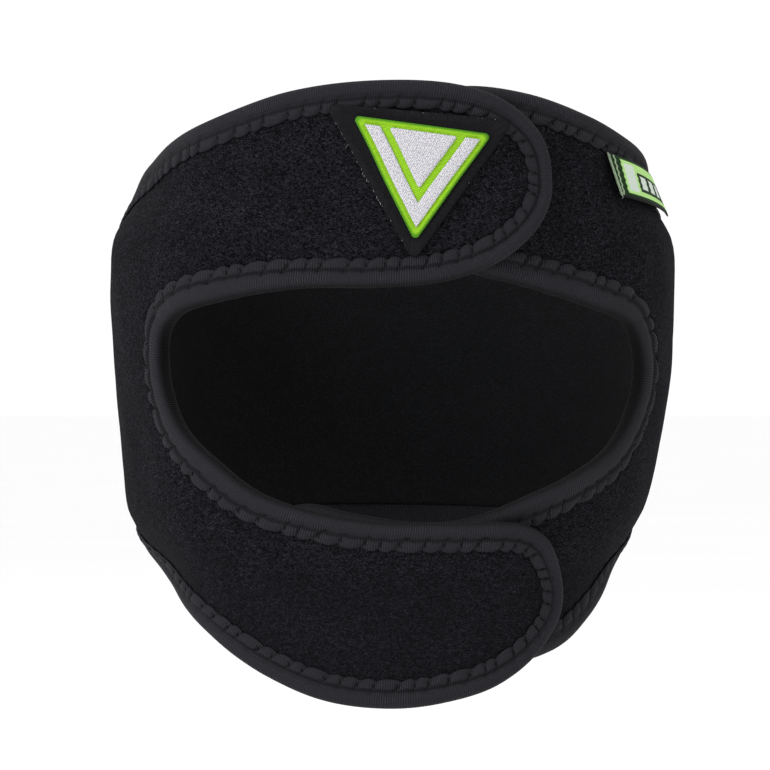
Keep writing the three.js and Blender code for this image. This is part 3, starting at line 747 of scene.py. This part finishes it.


# Rib knit: sine ribs across the tape, and painted shade in the slits between the lobes, in the valley and on
# the leg side round the opening
def makeTapeMaterial():
    look = tapeLook
    material, tree, shader = newCloth("ribKnitTape", look)
    place, even = partsOf(tree, mapPlace(tree, "alongTape")), partsOf(tree, mapPlace(tree, "evenTurn"))
    along, across = place["X"], place["Y"]
    nap = napOf(tree, look["fibreSize"])
    patch = nap["Patch"]
    wavered = maths(tree, "ADD", even["X"], product(tree, patch, look["ribWaver"]))
    ribTurn = product(tree, wavered, look["ribsPerScallop"])
    slanted = maths(tree, "MULTIPLY_ADD", across, look["ribLean"], ribTurn)
    wave = maths(tree, "SINE", product(tree, slanted, 2 * math.pi))
    rib = maths(tree, "MULTIPLY_ADD", wave, remap(tree, patch, 0, 1, *look["ribDepth"]), 0.5)
    fromStitch = maths(tree, "PINGPONG", maths(tree, "MULTIPLY_ADD", across, look["slant"], along), 0.5)
    slitStart, slitEnd = look["slitEdge"]
    narrow = remap(tree, fromStitch, slitStart, slitEnd * look["slitWidth"], 1.0, 0.0)
    pit = product(tree, remap(tree, across, *look["pitFade"]), bandOf(tree, across, look["flangeBand"]),
                  softened(tree, patch, look["pitPatch"]))
    slit = product(tree, narrow, pit)
    # painted shade in the valley between the roll and the flange
    paintedValleyShade = product(tree, bandOf(tree, across, look["valleyBand"]), look["valleyShade"])
    shade = maths(tree, "MAXIMUM", product(tree, slit, look["slitShade"]), paintedValleyShade)
    share = product(tree, rib, softened(tree, nap["Fibre"], look["fibreShade"]),
                    softened(tree, patch, look["patchShade"]))
    color = blendColors(tree, share, look["ground"], look["ribs"])
    # painted shade on the half of the tape that faces the leg, round the opening only
    legSide = remap(tree, across, *look["legSideBand"], 0.0, 1 - look["legSideShade"])
    shade = maths(tree, "MAXIMUM", shade, product(tree, legSide, even["Y"]))
    # painted shade: the slits, the valley and the leg side are darkened towards the slit colour
    color = blendColors(tree, shade, color, look["slit"])
    height = maths(tree, "MULTIPLY_ADD", nap["Height"], look["napHeight"], rib)
    height = maths(tree, "SUBTRACT", height, product(tree, slit, look["slitHeight"]))
    finishSurface(tree, shader, color, height, look["bump"])
    return material


# Closed spline through the profile's rows: points = Catmull-Rom with even steps
def smoothProfile(rows, steps):
    t = (np.arange(steps) / steps)[None, :, None]
    before, here, after, beyond = (np.roll(rows, shift, axis=0)[:, None, :] for shift in (1, 0, -1, -2))
    made = 0.5 * (2 * here + (after - before) * t + (2 * before - 5 * here + 4 * after - beyond) * t ** 2
                  + (3 * here - before - 3 * after + beyond) * t ** 3)
    return made.reshape(-1, rows.shape[1])


# Hand-guided stitching: the count of lobes, shifted by two sines that close round the strap
def wobble(turn):
    angle = 2 * math.pi * turn / scallopCount
    waves = sum(share * np.sin(count * angle + start) for count, start, share in tapeLook["wobbleWaves"])
    return turn + tapeLook["wobble"] * waves


# Lobes between stitches: reach = |sin| to a power, and a slit = exp(-(distance / width)^2) at each stitch
def buildTape():
    look = tapeLook
    count = int(edgeLength / look["spacing"])
    stations = stationsAt(curve, np.arange(count) * edgeLength / count)
    profile = smoothProfile(tapeProfile, look["steps"])
    inset, offset, lobeShare, rollShare = (np.broadcast_to(column, (count, len(profile)))
                                           for column in profile.T)
    outer = offset > (tapeRoof + tapeFloor) / 2
    closed = np.vstack([profile, profile[:1]])[:, :2]
    length = np.concatenate([[0], np.cumsum(np.hypot(*np.diff(closed, axis=0).T))])
    lean = wobble(stations["run"][:, None] / scallopPitch) + length[:-1] * look["slant"]
    fromStitch = np.abs((lean + 0.5) % 1 - 0.5)
    lobe = np.abs(np.sin(math.pi * lean)) ** look["lobeRoundness"]
    slit = np.exp(-(fromStitch / look["slitWidth"]) ** 2) * outer
    byOpening = 1 - easeBetween(np.abs(levelOf(stations["rise"])), *look["openingBand"])
    fuller = byOpening * easeBetween(180 - np.abs(stations["wrap"]), *look["fullerFrom"])
    moved = inset + lobeShare * look["lobeReach"] * (lobe - look["lobeMiddle"])
    moved = moved - rollShare * look["fullerRoll"] * fuller[:, None]
    flange = np.clip(lobeShare * look["flangeGain"], 0, 1) * outer
    cut = (look["valleyCut"] + flange) * slit * look["slitDepth"] * (inset > look["slitFrom"])
    lifted = offset + flange * look["lobeCrown"] * (lobe - 0.5) - cut
    overFabric = outer & (inset > look["coverFrom"])
    lifted = np.where(overFabric, np.maximum(lifted, tapeRoof - look["coverDepth"]), lifted)
    points = onLeg(*insetPlaces(stations, moved), lifted)
    shape = (count + 1, len(profile) + 1)
    evenTurns = (np.arange(count + 1) * scallopCount / count)[:, None]
    # the evenTurn map's second value tells the material where the edge is the opening's, for its painted
    # leg-side shade
    opening = np.append(byOpening, byOpening[0])[:, None]
    tape = newPiece("edgeTapeKnit", points.reshape(-1, 3), gridQuads(count, len(profile), True, True),
                    [makeTapeMaterial()],
                    uvs={"alongTape": cornerMap(wobble(evenTurns), length, shape),
                         "evenTurn": cornerMap(evenTurns, opening, shape)})
    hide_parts("edge_binding")


buildTape()
print("stage: edge tape made")

threadLook = {
    "radius": 0.00012,  # metres
    "sides": 5,
    "stepsEach": 10,
    "color": (0.0035, 0.0035, 0.004),
    "paleGain": 2.2,  # how much paler the thread's own fibres are
    "fibreSize": 0.0004,
    "roughness": 0.8,
    "specular": 0.1,
    "bump": (0.4, 0.0001),
    "sunk": 0.16,
    "valleyInset": 3.75,
    "endInset": 6.45,
    "height": 0.62,  # over the fabric, in the middle of the flange
    "valleyDip": (0.35, 0.75, 1),  # depth, and the swings between which it sets in
    "endDip": (0.4, 0.3, 0),
}


# Zigzag seam: inset swings between the valley and the tape's end as a triangle wave, once for each lobe
def buildSeam():
    look = threadLook
    count = scallopCount * look["stepsEach"]
    turn = np.arange(count) / look["stepsEach"]
    swing = np.abs(wobble(turn) % 1 - 0.5) * 2
    inset = look["endInset"] + (look["valleyInset"] - look["endInset"]) * swing
    wrap, rise = insetPlaces(stationsAt(curve, turn * scallopPitch), inset)
    over = tapeRoof + look["height"]
    for depth, low, high in (look["valleyDip"], look["endDip"]):
        over = over - depth * easeBetween(swing, low, high)
    path = onLeg(wrap, rise, over - look["sunk"])
    rings = tubeRings(path, outwardAt(wrap, rise), look["radius"], look["sides"])
    material, tree, shader = newMaterial("seamThread", look["roughness"], look["specular"])
    nap = napOf(tree, look["fibreSize"])
    pale = tuple(look["paleGain"] * part for part in look["color"])
    color = blendColors(tree, nap["Fibre"], look["color"], pale)
    finishSurface(tree, shader, color, nap["Height"], look["bump"])
    newPiece("zigzagSeam", rings.reshape(-1, 3), gridQuads(count, look["sides"], True, True), [material])


buildSeam()
print("stage: zigzag seam made")

badgeLook = {
    "width": 42.0,
    "height": 35.6,
    "place": (4.8, 1.504),
    "corners": [(-0.5, 0.5), (0.5, 0.396), (-0.02, -0.5)],
    "fieldCorners": [(-0.35, 0.424), (0.376, 0.306), (-0.015, -0.374)],
    "sidePoints": 44,
    "cornerPoints": 9,
    "lastRing": 0.985,  # of the way to the middle
    "baseThickness": 0.9,
    "fieldThickness": 0.5,
    "motifThickness": 0.45,
    "motifMargin": 1.6,
    "chevronWidth": 2.8,
    "chevronColumns": 40,
    "chevronAcross": [0, 0, 0.08, 0.2, 0.4, 0.6, 0.8, 0.92, 1, 1],
    "chevronCrown": [0, 0.45, 0.85, 1, 1.05, 1.05, 1, 0.85, 0.45, 0],
    "gap": 0.2,
    "fieldSunk": 0.9,  # gaps by which the layer's underside lies deeper
    "motifSunk": 2,
    "green": (0.3, 0.58, 0.014),
    "greenDark": (0.045, 0.19, 0.004),
    "white": (0.6, 0.6, 0.615),
    "speck": (0.2, 0.17, 0.23),
    "patch": (0.0035, 0.0035, 0.0042),
    "patchThread": (0.0125, 0.012, 0.0145),
    "fleck": (0.3, 0.31, 0.3),
    "twill": (0.9, 0.55, 0.25),  # each lay: angle in radians, pitch and waver in mm
    "borderSatin": (0.35, 0.42, 0.3),
    "fieldSatin": (1.2, 0.4, 0.2),
    "rimSatin": (0.15, 0.4, 0.2),
    "fillStitch": (0.5, 0.42, 0.35),
    "borderEnd": (1.5, 1.9),  # mm from the edge over which the satin border gives way to twill
    "rimEnd": (1.1, 1.3),
    "rimShade": (0.15, 0.8, 0.05, 1.0),  # mm between which the green comes up, and its two shares
    "fleckReach": 0.5,
    "flecks": (1.6, 0.66),  # scale and threshold
    "stitchGaps": (3.2, 0.53),
    "gapShare": 0.7,
    "glintShade": 0.35,  # how dark the threads are where they don't catch the light
    "twillShade": 0.6,
    "fieldRidge": 0.55,
    "fieldGlint": 0.8,
    "fillShade": 0.3,
    "patchSurface": (0.7, 0.08),  # each surface: roughness and specular level
    "fieldSurface": (0.55, 0.15),
    "motifSurface": (0.6, 0.25),
    "patchBump": (0.7, 0.00018),  # each bump: strength, and depth in metres
    "fieldBump": (0.6, 0.00016),
    "motifBump": (0.6, 0.00018),
}
# Each layer's crown in thicknesses: start, climb and the mm that it takes, then a sink between two depths
badgeCrowns = {
    "base": {"thickness": "baseThickness", "radius": 1.5, "start": 0.5, "climb": 0.5, "climbEnd": 0.5,
             "sink": 0.2, "sinkFrom": (1.5, 2.0),
             "rings": [0.12, 0.3, 0.5, 1.0, 1.5, 1.75, 2.0, 3.0, 4.5, 6, 8]},
    "field": {"thickness": "fieldThickness", "radius": 0.9, "start": 0.4, "climb": 0.75, "climbEnd": 0.35,
              "sink": 0.4, "sinkFrom": (0.95, 1.3),
              "rings": [0.08, 0.2, 0.35, 0.65, 0.95, 1.12, 1.3, 2.2, 4, 6]},
    "core": {"thickness": "motifThickness", "radius": 0.4, "start": 0.45, "climb": 0.6, "climbEnd": 0.4,
             "sink": 0, "sinkFrom": (1, 2),
             "rings": [0.08, 0.2, 0.4, 1.0, 2.0]},
}


# Corners of a triangle, moved in by a distance from its top side and from its two lower sides
def badgeTriangle(name, topInset, sideInset):
    corners = np.array(badgeLook[name]) * (badgeLook["width"], badgeLook["height"])
    insets = [topInset, sideInset, sideInset]
    made = []
    for k in range(3):
        onwards, backwards = unit(corners[(k + 1) % 3] - corners[k]), unit(corners[(k + 2) % 3] - corners[k])
        sharpness = abs(onwards[0] * backwards[1] - onwards[1] * backwards[0])
        made.append(corners[k] + (onwards * insets[(k + 2) % 3] + backwards * insets[k]) / sharpness)
    return np.array(made)


# Middle of the circle that fits in a triangle, and its radius
def triangleMiddle(corners):
    sides = np.linalg.norm(np.roll(corners, -1, axis=0) - np.roll(corners, -2, axis=0), axis=1)
    middle = (corners * sides[:, None]).sum(axis=0) / sides.sum()
    a, b, c = corners
    area = abs((b[0] - a[0]) * (c[1] - a[1]) - (c[0] - a[0]) * (b[1] - a[1])) / 2
    return middle, 2 * area / sides.sum()


# Outline of a triangle with round corners: an inner triangle, pushed out by the corner radius
def roundedOutline(corners, radius):
    middle, inner = triangleMiddle(corners)
    small = middle + (corners - middle) * (1 - radius / inner)
    outOf = lambda a, b: unit(np.array([a[1] - b[1], b[0] - a[0]]))
    found = []
    for k in range(3):
        here, after, before = small[k], small[(k + 1) % 3], small[(k + 2) % 3]
        first, second = outOf(before, here), outOf(here, after)
        if np.dot(first, here - middle) < 0:
            first, second = -first, -second
        t = np.linspace(0, 1, badgeLook["cornerPoints"])[:, None]
        found.append(here + radius * unit(first * (1 - t) + second * t))
        t = np.linspace(0, 1, badgeLook["sidePoints"] + 2)[1:-1, None]
        found.append(here + (after - here) * t + radius * second)
    return np.concatenate(found), middle, inner


# Point of the badge's plane laid on the lapped arm
def onBadge(x, y, offset):
    turn, level = badgeLook["place"]
    wrap, rise = wrapOf(-1, turn), riseOf(level)
    return onLeg(wrap - x * wrapPerMillimetre(wrap, rise), rise + y, offset)


# Crowned triangle of rings that shrink to the middle; height = thickness * (start + climb - sink), where the
# climb and the sink go by the distance from the edge
def badgeLayer(name, corners, layer, underside, material, node):
    crown = badgeCrowns[layer]
    edge, middle, inner = roundedOutline(corners, crown["radius"])
    share = np.concatenate([[0, 0], np.array(crown["rings"]) / inner, [badgeLook["lastRing"]]])
    flat = edge[:, None, :] + (middle - edge)[:, None, :] * share[None, :, None]
    depth = share * inner
    climb = crown["start"] + crown["climb"] * easeBetween(depth, 0, crown["climbEnd"])
    sink = crown["sink"] * easeBetween(depth, *crown["sinkFrom"])
    heights = underside + badgeLook[crown["thickness"]] * (climb - sink)
    heights[0] = underside
    heights, depth = np.append(underside, heights), np.append(0, depth)
    flat = np.concatenate([flat[:, -1:], flat], axis=1)
    grid = onBadge(flat[..., 0], flat[..., 1], heights)
    count, rows = flat.shape[:2]
    run = np.concatenate([[0], np.cumsum(np.linalg.norm(np.roll(edge, -1, axis=0) - edge, axis=1))])
    around = np.vstack([flat, flat[:1]])
    quads = [gridQuads(count, rows, True)]
    plane = [cornerMap(around[..., 0], around[..., 1], around.shape[:2])]
    border = [cornerMap(run[:, None], depth, around.shape[:2])]
    for row in (0, rows - 1):  # small closing caps at the middle
        ring = closingStrip(count)
        quads.append(ring * rows + row)
        plane.append(flat[ring, row].reshape(-1, 2))
        border.append(np.full((ring.size, 2), inner))
    piece = newPiece(name, grid.reshape(-1, 3), np.concatenate(quads), [material],
                     uvs={"plane": np.concatenate(plane), "border": np.concatenate(border)})
    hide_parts(node)


# Black patch: twill ground, and a satin border whose threads run across the edge, with a few pale flecks
def makePatchMaterial():
    look = badgeLook
    material, tree, shader = newMaterial("blackPatch", *look["patchSurface"])
    plane, border = mapPlace(tree, "plane"), mapPlace(tree, "border")
    twill, satin = threadsOf(tree, plane, look["twill"]), threadsOf(tree, border, look["borderSatin"])
    depth = partsOf(tree, border)["Y"]
    onBorder = remap(tree, depth, *look["borderEnd"], 1.0, 0.0)
    ridge = blendValues(tree, onBorder, twill["Ridge"], satin["Ridge"])
    share = product(tree, ridge, softened(tree, satin["Glint"], look["glintShade"]),
                    softened(tree, onBorder, look["twillShade"]))
    color = blendColors(tree, share, look["patch"], look["patchThread"])
    nearEdge = remap(tree, depth, 0.0, look["fleckReach"], 1.0, 0.0)
    fleck = product(tree, specksOf(tree, border, *look["flecks"]), nearEdge)
    finishSurface(tree, shader, blendColors(tree, fleck, color, look["fleck"]), ridge, look["patchBump"])
    return material


# Lime satin embroidery: threads across the edge near the rim, and slanted over the field
def makeFieldMaterial():
    look = badgeLook
    material, tree, shader = newMaterial("limeSatin", *look["fieldSurface"])
    plane, border = mapPlace(tree, "plane"), mapPlace(tree, "border")
    field, rim = threadsOf(tree, plane, look["fieldSatin"]), threadsOf(tree, border, look["rimSatin"])
    depth = partsOf(tree, border)["Y"]
    onRim = remap(tree, depth, *look["rimEnd"], 1.0, 0.0)
    ridge = blendValues(tree, onRim, field["Ridge"], rim["Ridge"])
    share = product(tree, softened(tree, ridge, look["fieldRidge"]),
                    softened(tree, field["Glint"], look["fieldGlint"]), remap(tree, depth, *look["rimShade"]))
    color = blendColors(tree, share, look["greenDark"], look["green"])
    finishSurface(tree, shader, color, ridge, look["fieldBump"])
    return material


# White fill stitch: short slanted threads with grey-violet gaps
def makeMotifMaterial():
    look = badgeLook
    material, tree, shader = newMaterial("whiteFillStitch", *look["motifSurface"])
    plane = mapPlace(tree, "plane")
    ridge = threadsOf(tree, plane, look["fillStitch"])["Ridge"]
    gaps = specksOf(tree, plane, *look["stitchGaps"])
    between = remap(tree, ridge, 0, 1, look["fillShade"], 0.0)
    color = blendColors(tree, between, look["white"], look["speck"])
    color = blendColors(tree, product(tree, gaps, look["gapShare"]), color, look["speck"])
    finishSurface(tree, shader, color, maths(tree, "SUBTRACT", ridge, gaps), look["motifBump"])
    return material


# Chevron along the two lower sides: a crowned band between an outer and an inner line
def buildChevron(topInset, underside, material):
    along = np.linspace(0, 1, badgeLook["chevronColumns"])[:, None]

    def line(sideInset):
        left, right, tip = badgeTriangle("fieldCorners", topInset, sideInset)
        return np.concatenate([left + (tip - left) * along, tip + (right - tip) * along[1:]])

    first, second = line(topInset), line(topInset + badgeLook["chevronWidth"])
    across = np.array(badgeLook["chevronAcross"])
    lift = np.array(badgeLook["chevronCrown"]) * badgeLook["motifThickness"]
    flat = first[:, None, :] + (second - first)[:, None, :] * across[None, :, None]
    columns, rows = flat.shape[:2]
    grid = onBadge(flat[..., 0], flat[..., 1], np.broadcast_to(underside + lift, (columns, rows)))
    ends = [closingStrip(rows) + start * rows for start in (0, columns - 1)]
    quads = np.concatenate([gridQuads(columns, rows, False, True)] + ends)
    piece = newPiece("badgeChevronStitch", grid.reshape(-1, 3), quads, [material],
                     uvs={"plane": flat.reshape(-1, 2)[quads].reshape(-1, 2)})
    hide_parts("badge_chevron")


# The patch, the field on it, and on that the chevron and the small triangle inside it
def buildBadge():
    look = badgeLook
    baseUnder = flangeTop + strap["clearance"]
    fieldUnder = baseUnder + look["baseThickness"] + look["gap"]
    motifUnder = fieldUnder + look["fieldThickness"] + look["gap"]
    badgeLayer("badgePatchWeave", badgeTriangle("corners", 0, 0), "base", baseUnder, makePatchMaterial(),
               "badge_base")
    fieldUnder = fieldUnder - look["fieldSunk"] * look["gap"]
    badgeLayer("badgeFieldSatin", badgeTriangle("fieldCorners", 0, 0), "field", fieldUnder,
               makeFieldMaterial(), "badge_field")
    motif = makeMotifMaterial()
    motifUnder = motifUnder - look["motifSunk"] * look["gap"]
    inset = look["motifMargin"]
    buildChevron(inset, motifUnder, motif)
    coreInset = inset + look["chevronWidth"] + look["motifMargin"]
    badgeLayer("badgeCoreStitch", badgeTriangle("fieldCorners", inset, coreInset), "core", motifUnder, motif,
               "badge_core")


buildBadge()
print("stage: badge made")

tagLook = {
    "topNear": (49.3, 1.67, 0.0),  # corners: turn, level, and height in tag thicknesses
    "topFar": (82, 1.555, 0.0),
    "bottomNear": (52.8, 1.455, 1.4),
    "bottomFar": (83, 1.375, 0.8),
    "thickness": 0.6,
    "tapeShare": 1.1,  # of the tape's thickness, on which the tag lies
    "columns": 60,
    "rows": 30,
    "roundedPart": 14,  # the rim is rounded over one part in this many of the tag's height
    "edgeHalf": 0.15,  # half thickness at the rim, and what it gains inwards, as shares of the whole
    "edgeGain": 0.35,
    "threadCounts": (34, 15, 1),
    "warp": (0.0, 0.34, 0.1),
    "weft": (math.pi / 2, 0.5, 0.1),
    "zigzags": 14.0,
    "zigzagDepth": 0.012,
    "shear": 0.03,  # the woven cells lean by this share along from bottom to top
    "softness": 0.014,
    "weaveShade": (0.0, 0.6, 0.35, 0.0),  # height of the weave, low and high, and the shade at each
    "surface": (0.75, 0.1),
    "bump": (0.45, 0.00012),
    "lime": (0.49, 0.82, 0.27),
    "paleCell": (0.7, 0.79, 0.69),
    "darkCell": (0.008, 0.03, 0.006),
    "greenEdge": (0.004, 0.03, 0.002),
    "black": (0.006, 0.0075, 0.006),
    "frayed": (0.42, 0.55, 0.36),
    "cells": [  # color, whether it leans, left, right, bottom, top
        ("greenEdge", True, 0.012, 1.3, 0.07, 0.97),
        ("frayed", False, -0.1, 0.003, 0.0, 1.0),
        ("frayed", True, 0.05, 0.063, 0.05, 0.97),
        ("lime", True, 0.12, 1.3, 0.13, 0.92),
        ("paleCell", True, 0.15, 0.283, 0.2, 0.85),
        ("darkCell", True, 0.315, 1.3, 0.25, 0.72),
        ("paleCell", True, 0.36, 0.46, 0.33, 0.65),
        ("paleCell", True, 0.52, 0.62, 0.33, 0.65),
        ("paleCell", True, 0.68, 0.78, 0.33, 0.65),
    ],
}


# Woven tag: cells on a map of share along and share up, with fine warp and weft over them
def makeTagMaterial():
    look = tagLook
    material, tree, shader = newMaterial("wovenTag", *look["surface"])
    place = mapPlace(tree, "tagFace")
    parts = partsOf(tree, place)
    grid = addNode(tree, "ShaderNodeVectorMath", {0: place, 1: look["threadCounts"]},
                   operation="MULTIPLY").outputs[0]
    warp, weft = (threadsOf(tree, grid, look[lay])["Ridge"] for lay in ("warp", "weft"))
    folds = maths(tree, "PINGPONG", product(tree, parts["Y"], look["zigzags"]), 1.0)
    zigzagged = maths(tree, "ADD", parts["X"], product(tree, folds, look["zigzagDepth"]))
    fromTop = maths(tree, "SUBTRACT", 1.0, parts["Y"])
    leaned = maths(tree, "ADD", zigzagged, product(tree, fromTop, look["shear"]))
    leanedPlace = addNode(tree, "ShaderNodeCombineXYZ", {0: leaned, 1: parts["Y"]}).outputs[0]
    color = look["black"]
    for name, leans, *sides in look["cells"]:
        values = {"Place": leanedPlace if leans else place, "Softness": look["softness"],
                  **dict(zip(("Left", "Right", "Bottom", "Top"), sides))}
        color = blendColors(tree, useGroup(tree, cellGroup, values)["Mask"], color, look[name])
    dim = remap(tree, product(tree, warp, weft), *look["weaveShade"])
    color = blendColors(tree, dim, color, look["black"])
    finishSurface(tree, shader, color, maths(tree, "ADD", warp, weft), look["bump"])
    return material


# Folded tag: its top and bottom edges follow the leg, and its face is ruled straight between them
def buildTag():
    look = tagLook
    corner = lambda name: np.array([wrapOf(1, look[name][0]), riseOf(look[name][1]), look[name][2]])
    u = np.linspace(0, 1, look["columns"])[:, None]
    v = np.linspace(0, 1, look["rows"])[None, :, None]
    base = tapeRoof + look["tapeShare"] * strap["tapeThickness"] + strap["clearance"]

    def edgePoints(side, lift):
        spot = corner(side + "Near") + (corner(side + "Far") - corner(side + "Near")) * u
        return onLeg(spot[:, 0], spot[:, 1], base + spot[:, 2] * look["thickness"] + lift)[:, None, :]

    def face(lift):
        bottom = edgePoints("bottom", lift)
        return bottom + (edgePoints("top", lift) - bottom) * v

    front, back = face(look["thickness"]), face(0)
    rounding = np.minimum(1, np.minimum(v, 1 - v) * look["roundedPart"]) ** 0.5
    rounding = rounding * look["edgeGain"] + look["edgeHalf"]
    middle, half = (front + back) / 2, (front - back)
    ring = np.concatenate([middle + half * rounding, (middle - half * rounding)[:, ::-1]], axis=1)
    columns, rows = ring.shape[:2]
    ends = [closingStrip(rows) + start * rows for start in (0, columns - 1)]
    quads = np.concatenate([gridQuads(columns, rows, False, True)] + ends)
    up = np.concatenate([v[0, :, 0], v[0, ::-1, 0]])
    flat = np.stack(np.broadcast_arrays(u, up[None, :]), -1).reshape(-1, 2)
    tag = newPiece("sideTagWeave", ring.reshape(-1, 3), quads, [makeTagMaterial()],
                   uvs={"tagFace": flat[quads].reshape(-1, 2)})
    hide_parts("side_tag")


buildTag()
print("stage: side tag made")

looseLook = {
    "badgeCount": 46,
    "badgeSpan": (0.1, 0.66),  # shares of the patch's left side
    "badgeInset": 0.1,
    "badgeHeight": 0.5,
    "tagCount": 16,
    "tagSpan": (0.02, 0.98),
    "tagHeight": 1.45,
    "shortest": 0.0003,  # lengths and radius in metres
    "longest": 0.001,
    "radius": 0.00006,
    "points": 6,
    "sides": 4,
    "spread": 0.4,  # radians
    "stand": 0.15,
    "bend": 0.5,
    "droop": 0.25,
    "fibreSize": 0.002,
    "roughness": 0.6,
    "pale": (0.32, 0.33, 0.32),
    "dim": (0.05, 0.06, 0.05),
}


# Each thread is an arc: root + length * share * direction + length * share^2 * bend, thinning to a point
def looseThreads(name, roots, along, seed):
    look = looseLook
    rng = np.random.default_rng(seed)
    count = len(roots)
    out = unit(roots * (1, 1, 0))
    sideways = np.cross(along, out)
    turn = rng.normal(0, look["spread"], count)[:, None]
    stand = rng.uniform(0.0, look["stand"], count)[:, None]
    direction = along * np.cos(turn) + sideways * np.sin(turn) + out * stand
    bend = sideways * rng.normal(0, look["bend"], count)[:, None] - out * look["droop"]
    share = np.linspace(0, 1, look["points"])[None, :, None]
    length = rng.uniform(look["shortest"], look["longest"], count)[:, None, None]
    path = roots[:, None, :] + length * (share * direction[:, None, :] + share ** 2 * bend[:, None, :])
    tangent = np.gradient(path, axis=1)
    normal = unit(np.cross(tangent, out[:, None, :]))
    ring = ringRound(normal, unit(np.cross(tangent, normal)), look["sides"])
    radius = look["radius"] * np.sqrt(np.clip(4 * share * (1 - share), 0, 1))[..., None]
    points = path[:, :, None, :] + radius * ring
    each = gridQuads(look["points"], look["sides"], False, True)
    quads = (each[None] + np.arange(count)[:, None, None] * look["points"] * look["sides"]).reshape(-1, 4)
    material, tree, shader = newMaterial(name + "Fibre", look["roughness"])
    nap = napOf(tree, look["fibreSize"])
    finishSurface(tree, shader, blendColors(tree, nap["Patch"], look["dim"], look["pale"]))
    newPiece(name, points.reshape(-1, 3), quads, [material])


# Frayed threads at the patch's left side and at the tag's near end
def buildLooseThreads():
    look = looseLook
    rng = np.random.default_rng(11)
    corners = badgeTriangle("corners", look["badgeInset"], look["badgeInset"])
    t = rng.uniform(*look["badgeSpan"], look["badgeCount"])[:, None]
    spot = corners[0] + (corners[2] - corners[0]) * t
    height = flangeTop + strap["clearance"] + look["badgeHeight"]
    roots = onBadge(spot[:, 0], spot[:, 1], height)
    along = unit(onBadge(*corners[2], height) - onBadge(*corners[0], height))
    looseThreads("badgeLooseThreads", roots, np.broadcast_to(along, roots.shape), 5)
    tagCorner = lambda turn, level, over: onLeg(wrapOf(1, turn), riseOf(level), tapeRoof + look["tagHeight"]
                                                + (over + 0.5) * tagLook["thickness"])
    top, bottom = tagCorner(*tagLook["topNear"]), tagCorner(*tagLook["bottomNear"])
    t = np.sort(rng.uniform(*look["tagSpan"], look["tagCount"]))[:, None]
    roots = top + (bottom - top) * t
    looseThreads("tagLooseThreads", roots, np.broadcast_to(unit(bottom - top), roots.shape), 9)


buildLooseThreads()
print("stage: loose threads made")

padLook = {"ground": (0.003, 0.003, 0.0035), "tips": (0.02, 0.02, 0.022), "fibreSize": 0.0009,
           "roughness": 0.85, "sheen": 0.03, "sheenRoughness": 0.5, "sheenTint": (0.5, 0.5, 0.5),
           "specular": 0.15, "bump": (0.7, 0.0006), "layShade": 0.78, "calm": 0}
padMaterial = makeFabric("hookTape", padLook)
for padName in ("upper_hook_pad", "lower_hook_pad"):
    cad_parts[padName].data.materials.clear()
    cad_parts[padName].data.materials.append(padMaterial)

stageLook = {
    "floorHeight": -0.16,
    "floorReach": 30.0,
    "floorTone": (0.96, 0.96, 0.96),
    "floorShade": 0.99,  # how bright the floor's darker grain is
    "floorGrain": 3.0,
    "floorRoughness": 0.9,
    "air": 1.02,
    "lights": {  # power, size, place
        "keyLight": (18.0, 0.8, (-1.1, -1.0, 0.9)),
        "fillLight": (0.6, 1.2, (1.2, -1.0, 0.4)),
        "topLight": (4.0, 1.0, (0.1, 0.3, 1.5)),
    },
}


# Pale floor: one wide square under the strap, with a faint grain
def buildFloor():
    reach, height = stageLook["floorReach"], stageLook["floorHeight"]
    mesh = bpy.data.meshes.new("paleFloor")
    mesh.from_pydata([(-reach, -reach, height), (reach, -reach, height), (reach, reach, height),
                      (-reach, reach, height)], [], [(0, 1, 2, 3)])
    material, tree, shader = newMaterial("paleFloor", stageLook["floorRoughness"])
    grain = remap(tree, noise(tree, objectPlace(tree), stageLook["floorGrain"]), 0.3, 0.7)
    tone = stageLook["floorTone"]
    darker = tuple(stageLook["floorShade"] * part for part in tone)
    finishSurface(tree, shader, blendColors(tree, grain, tone, darker))
    mesh.materials.append(material)
    floor = bpy.data.objects.new("paleFloor", mesh)
    bpy.context.scene.collection.objects.link(floor)
    floor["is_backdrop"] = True


# Round area light turned to the middle of the strap: yaw and pitch from the way towards it
def addLight(name, power, size, place):
    light = bpy.data.lights.new(name, "AREA")
    light.shape, light.size, light.energy = "DISK", size, power
    lamp = bpy.data.objects.new(name, light)
    bpy.context.scene.collection.objects.link(lamp)
    lamp.location = place
    x, y, z = -np.array(place, float)
    lamp.rotation_euler = (math.atan2(np.hypot(x, y), -z), 0, math.atan2(x, -y) + math.pi)


buildFloor()
world = bpy.data.worlds.new("studioAir")
bpy.context.scene.world = world
world.use_nodes = True
world.node_tree.nodes["Background"].inputs["Color"].default_value = (1, 1, 1, 1)
world.node_tree.nodes["Background"].inputs["Strength"].default_value = stageLook["air"]
for lightName, (power, size, place) in stageLook["lights"].items():
    addLight(lightName, power, size, place)

# The camera stands 1.4 m in front; its lens takes in 181 mm at the strap
cameraLook = {"place": (-0.00176, -1.4, 0.00353), "lens": 278.5, "sensor": 36, "farEnd": 50}
camera = bpy.data.objects.new("camera", bpy.data.cameras.new("camera"))
bpy.context.scene.collection.objects.link(camera)
camera.location = cameraLook["place"]
camera.rotation_euler = (math.pi / 2, 0, 0)
camera.data.lens = cameraLook["lens"]
camera.data.sensor_width = cameraLook["sensor"]
camera.data.clip_end = cameraLook["farEnd"]
bpy.context.scene.camera = camera
bpy.context.scene.view_settings.view_transform = "Standard"
print("stage: floor, light and camera made")

{"cad": [list(corner) for corner in cadBox], "visual": [list(corner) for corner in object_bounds()]}
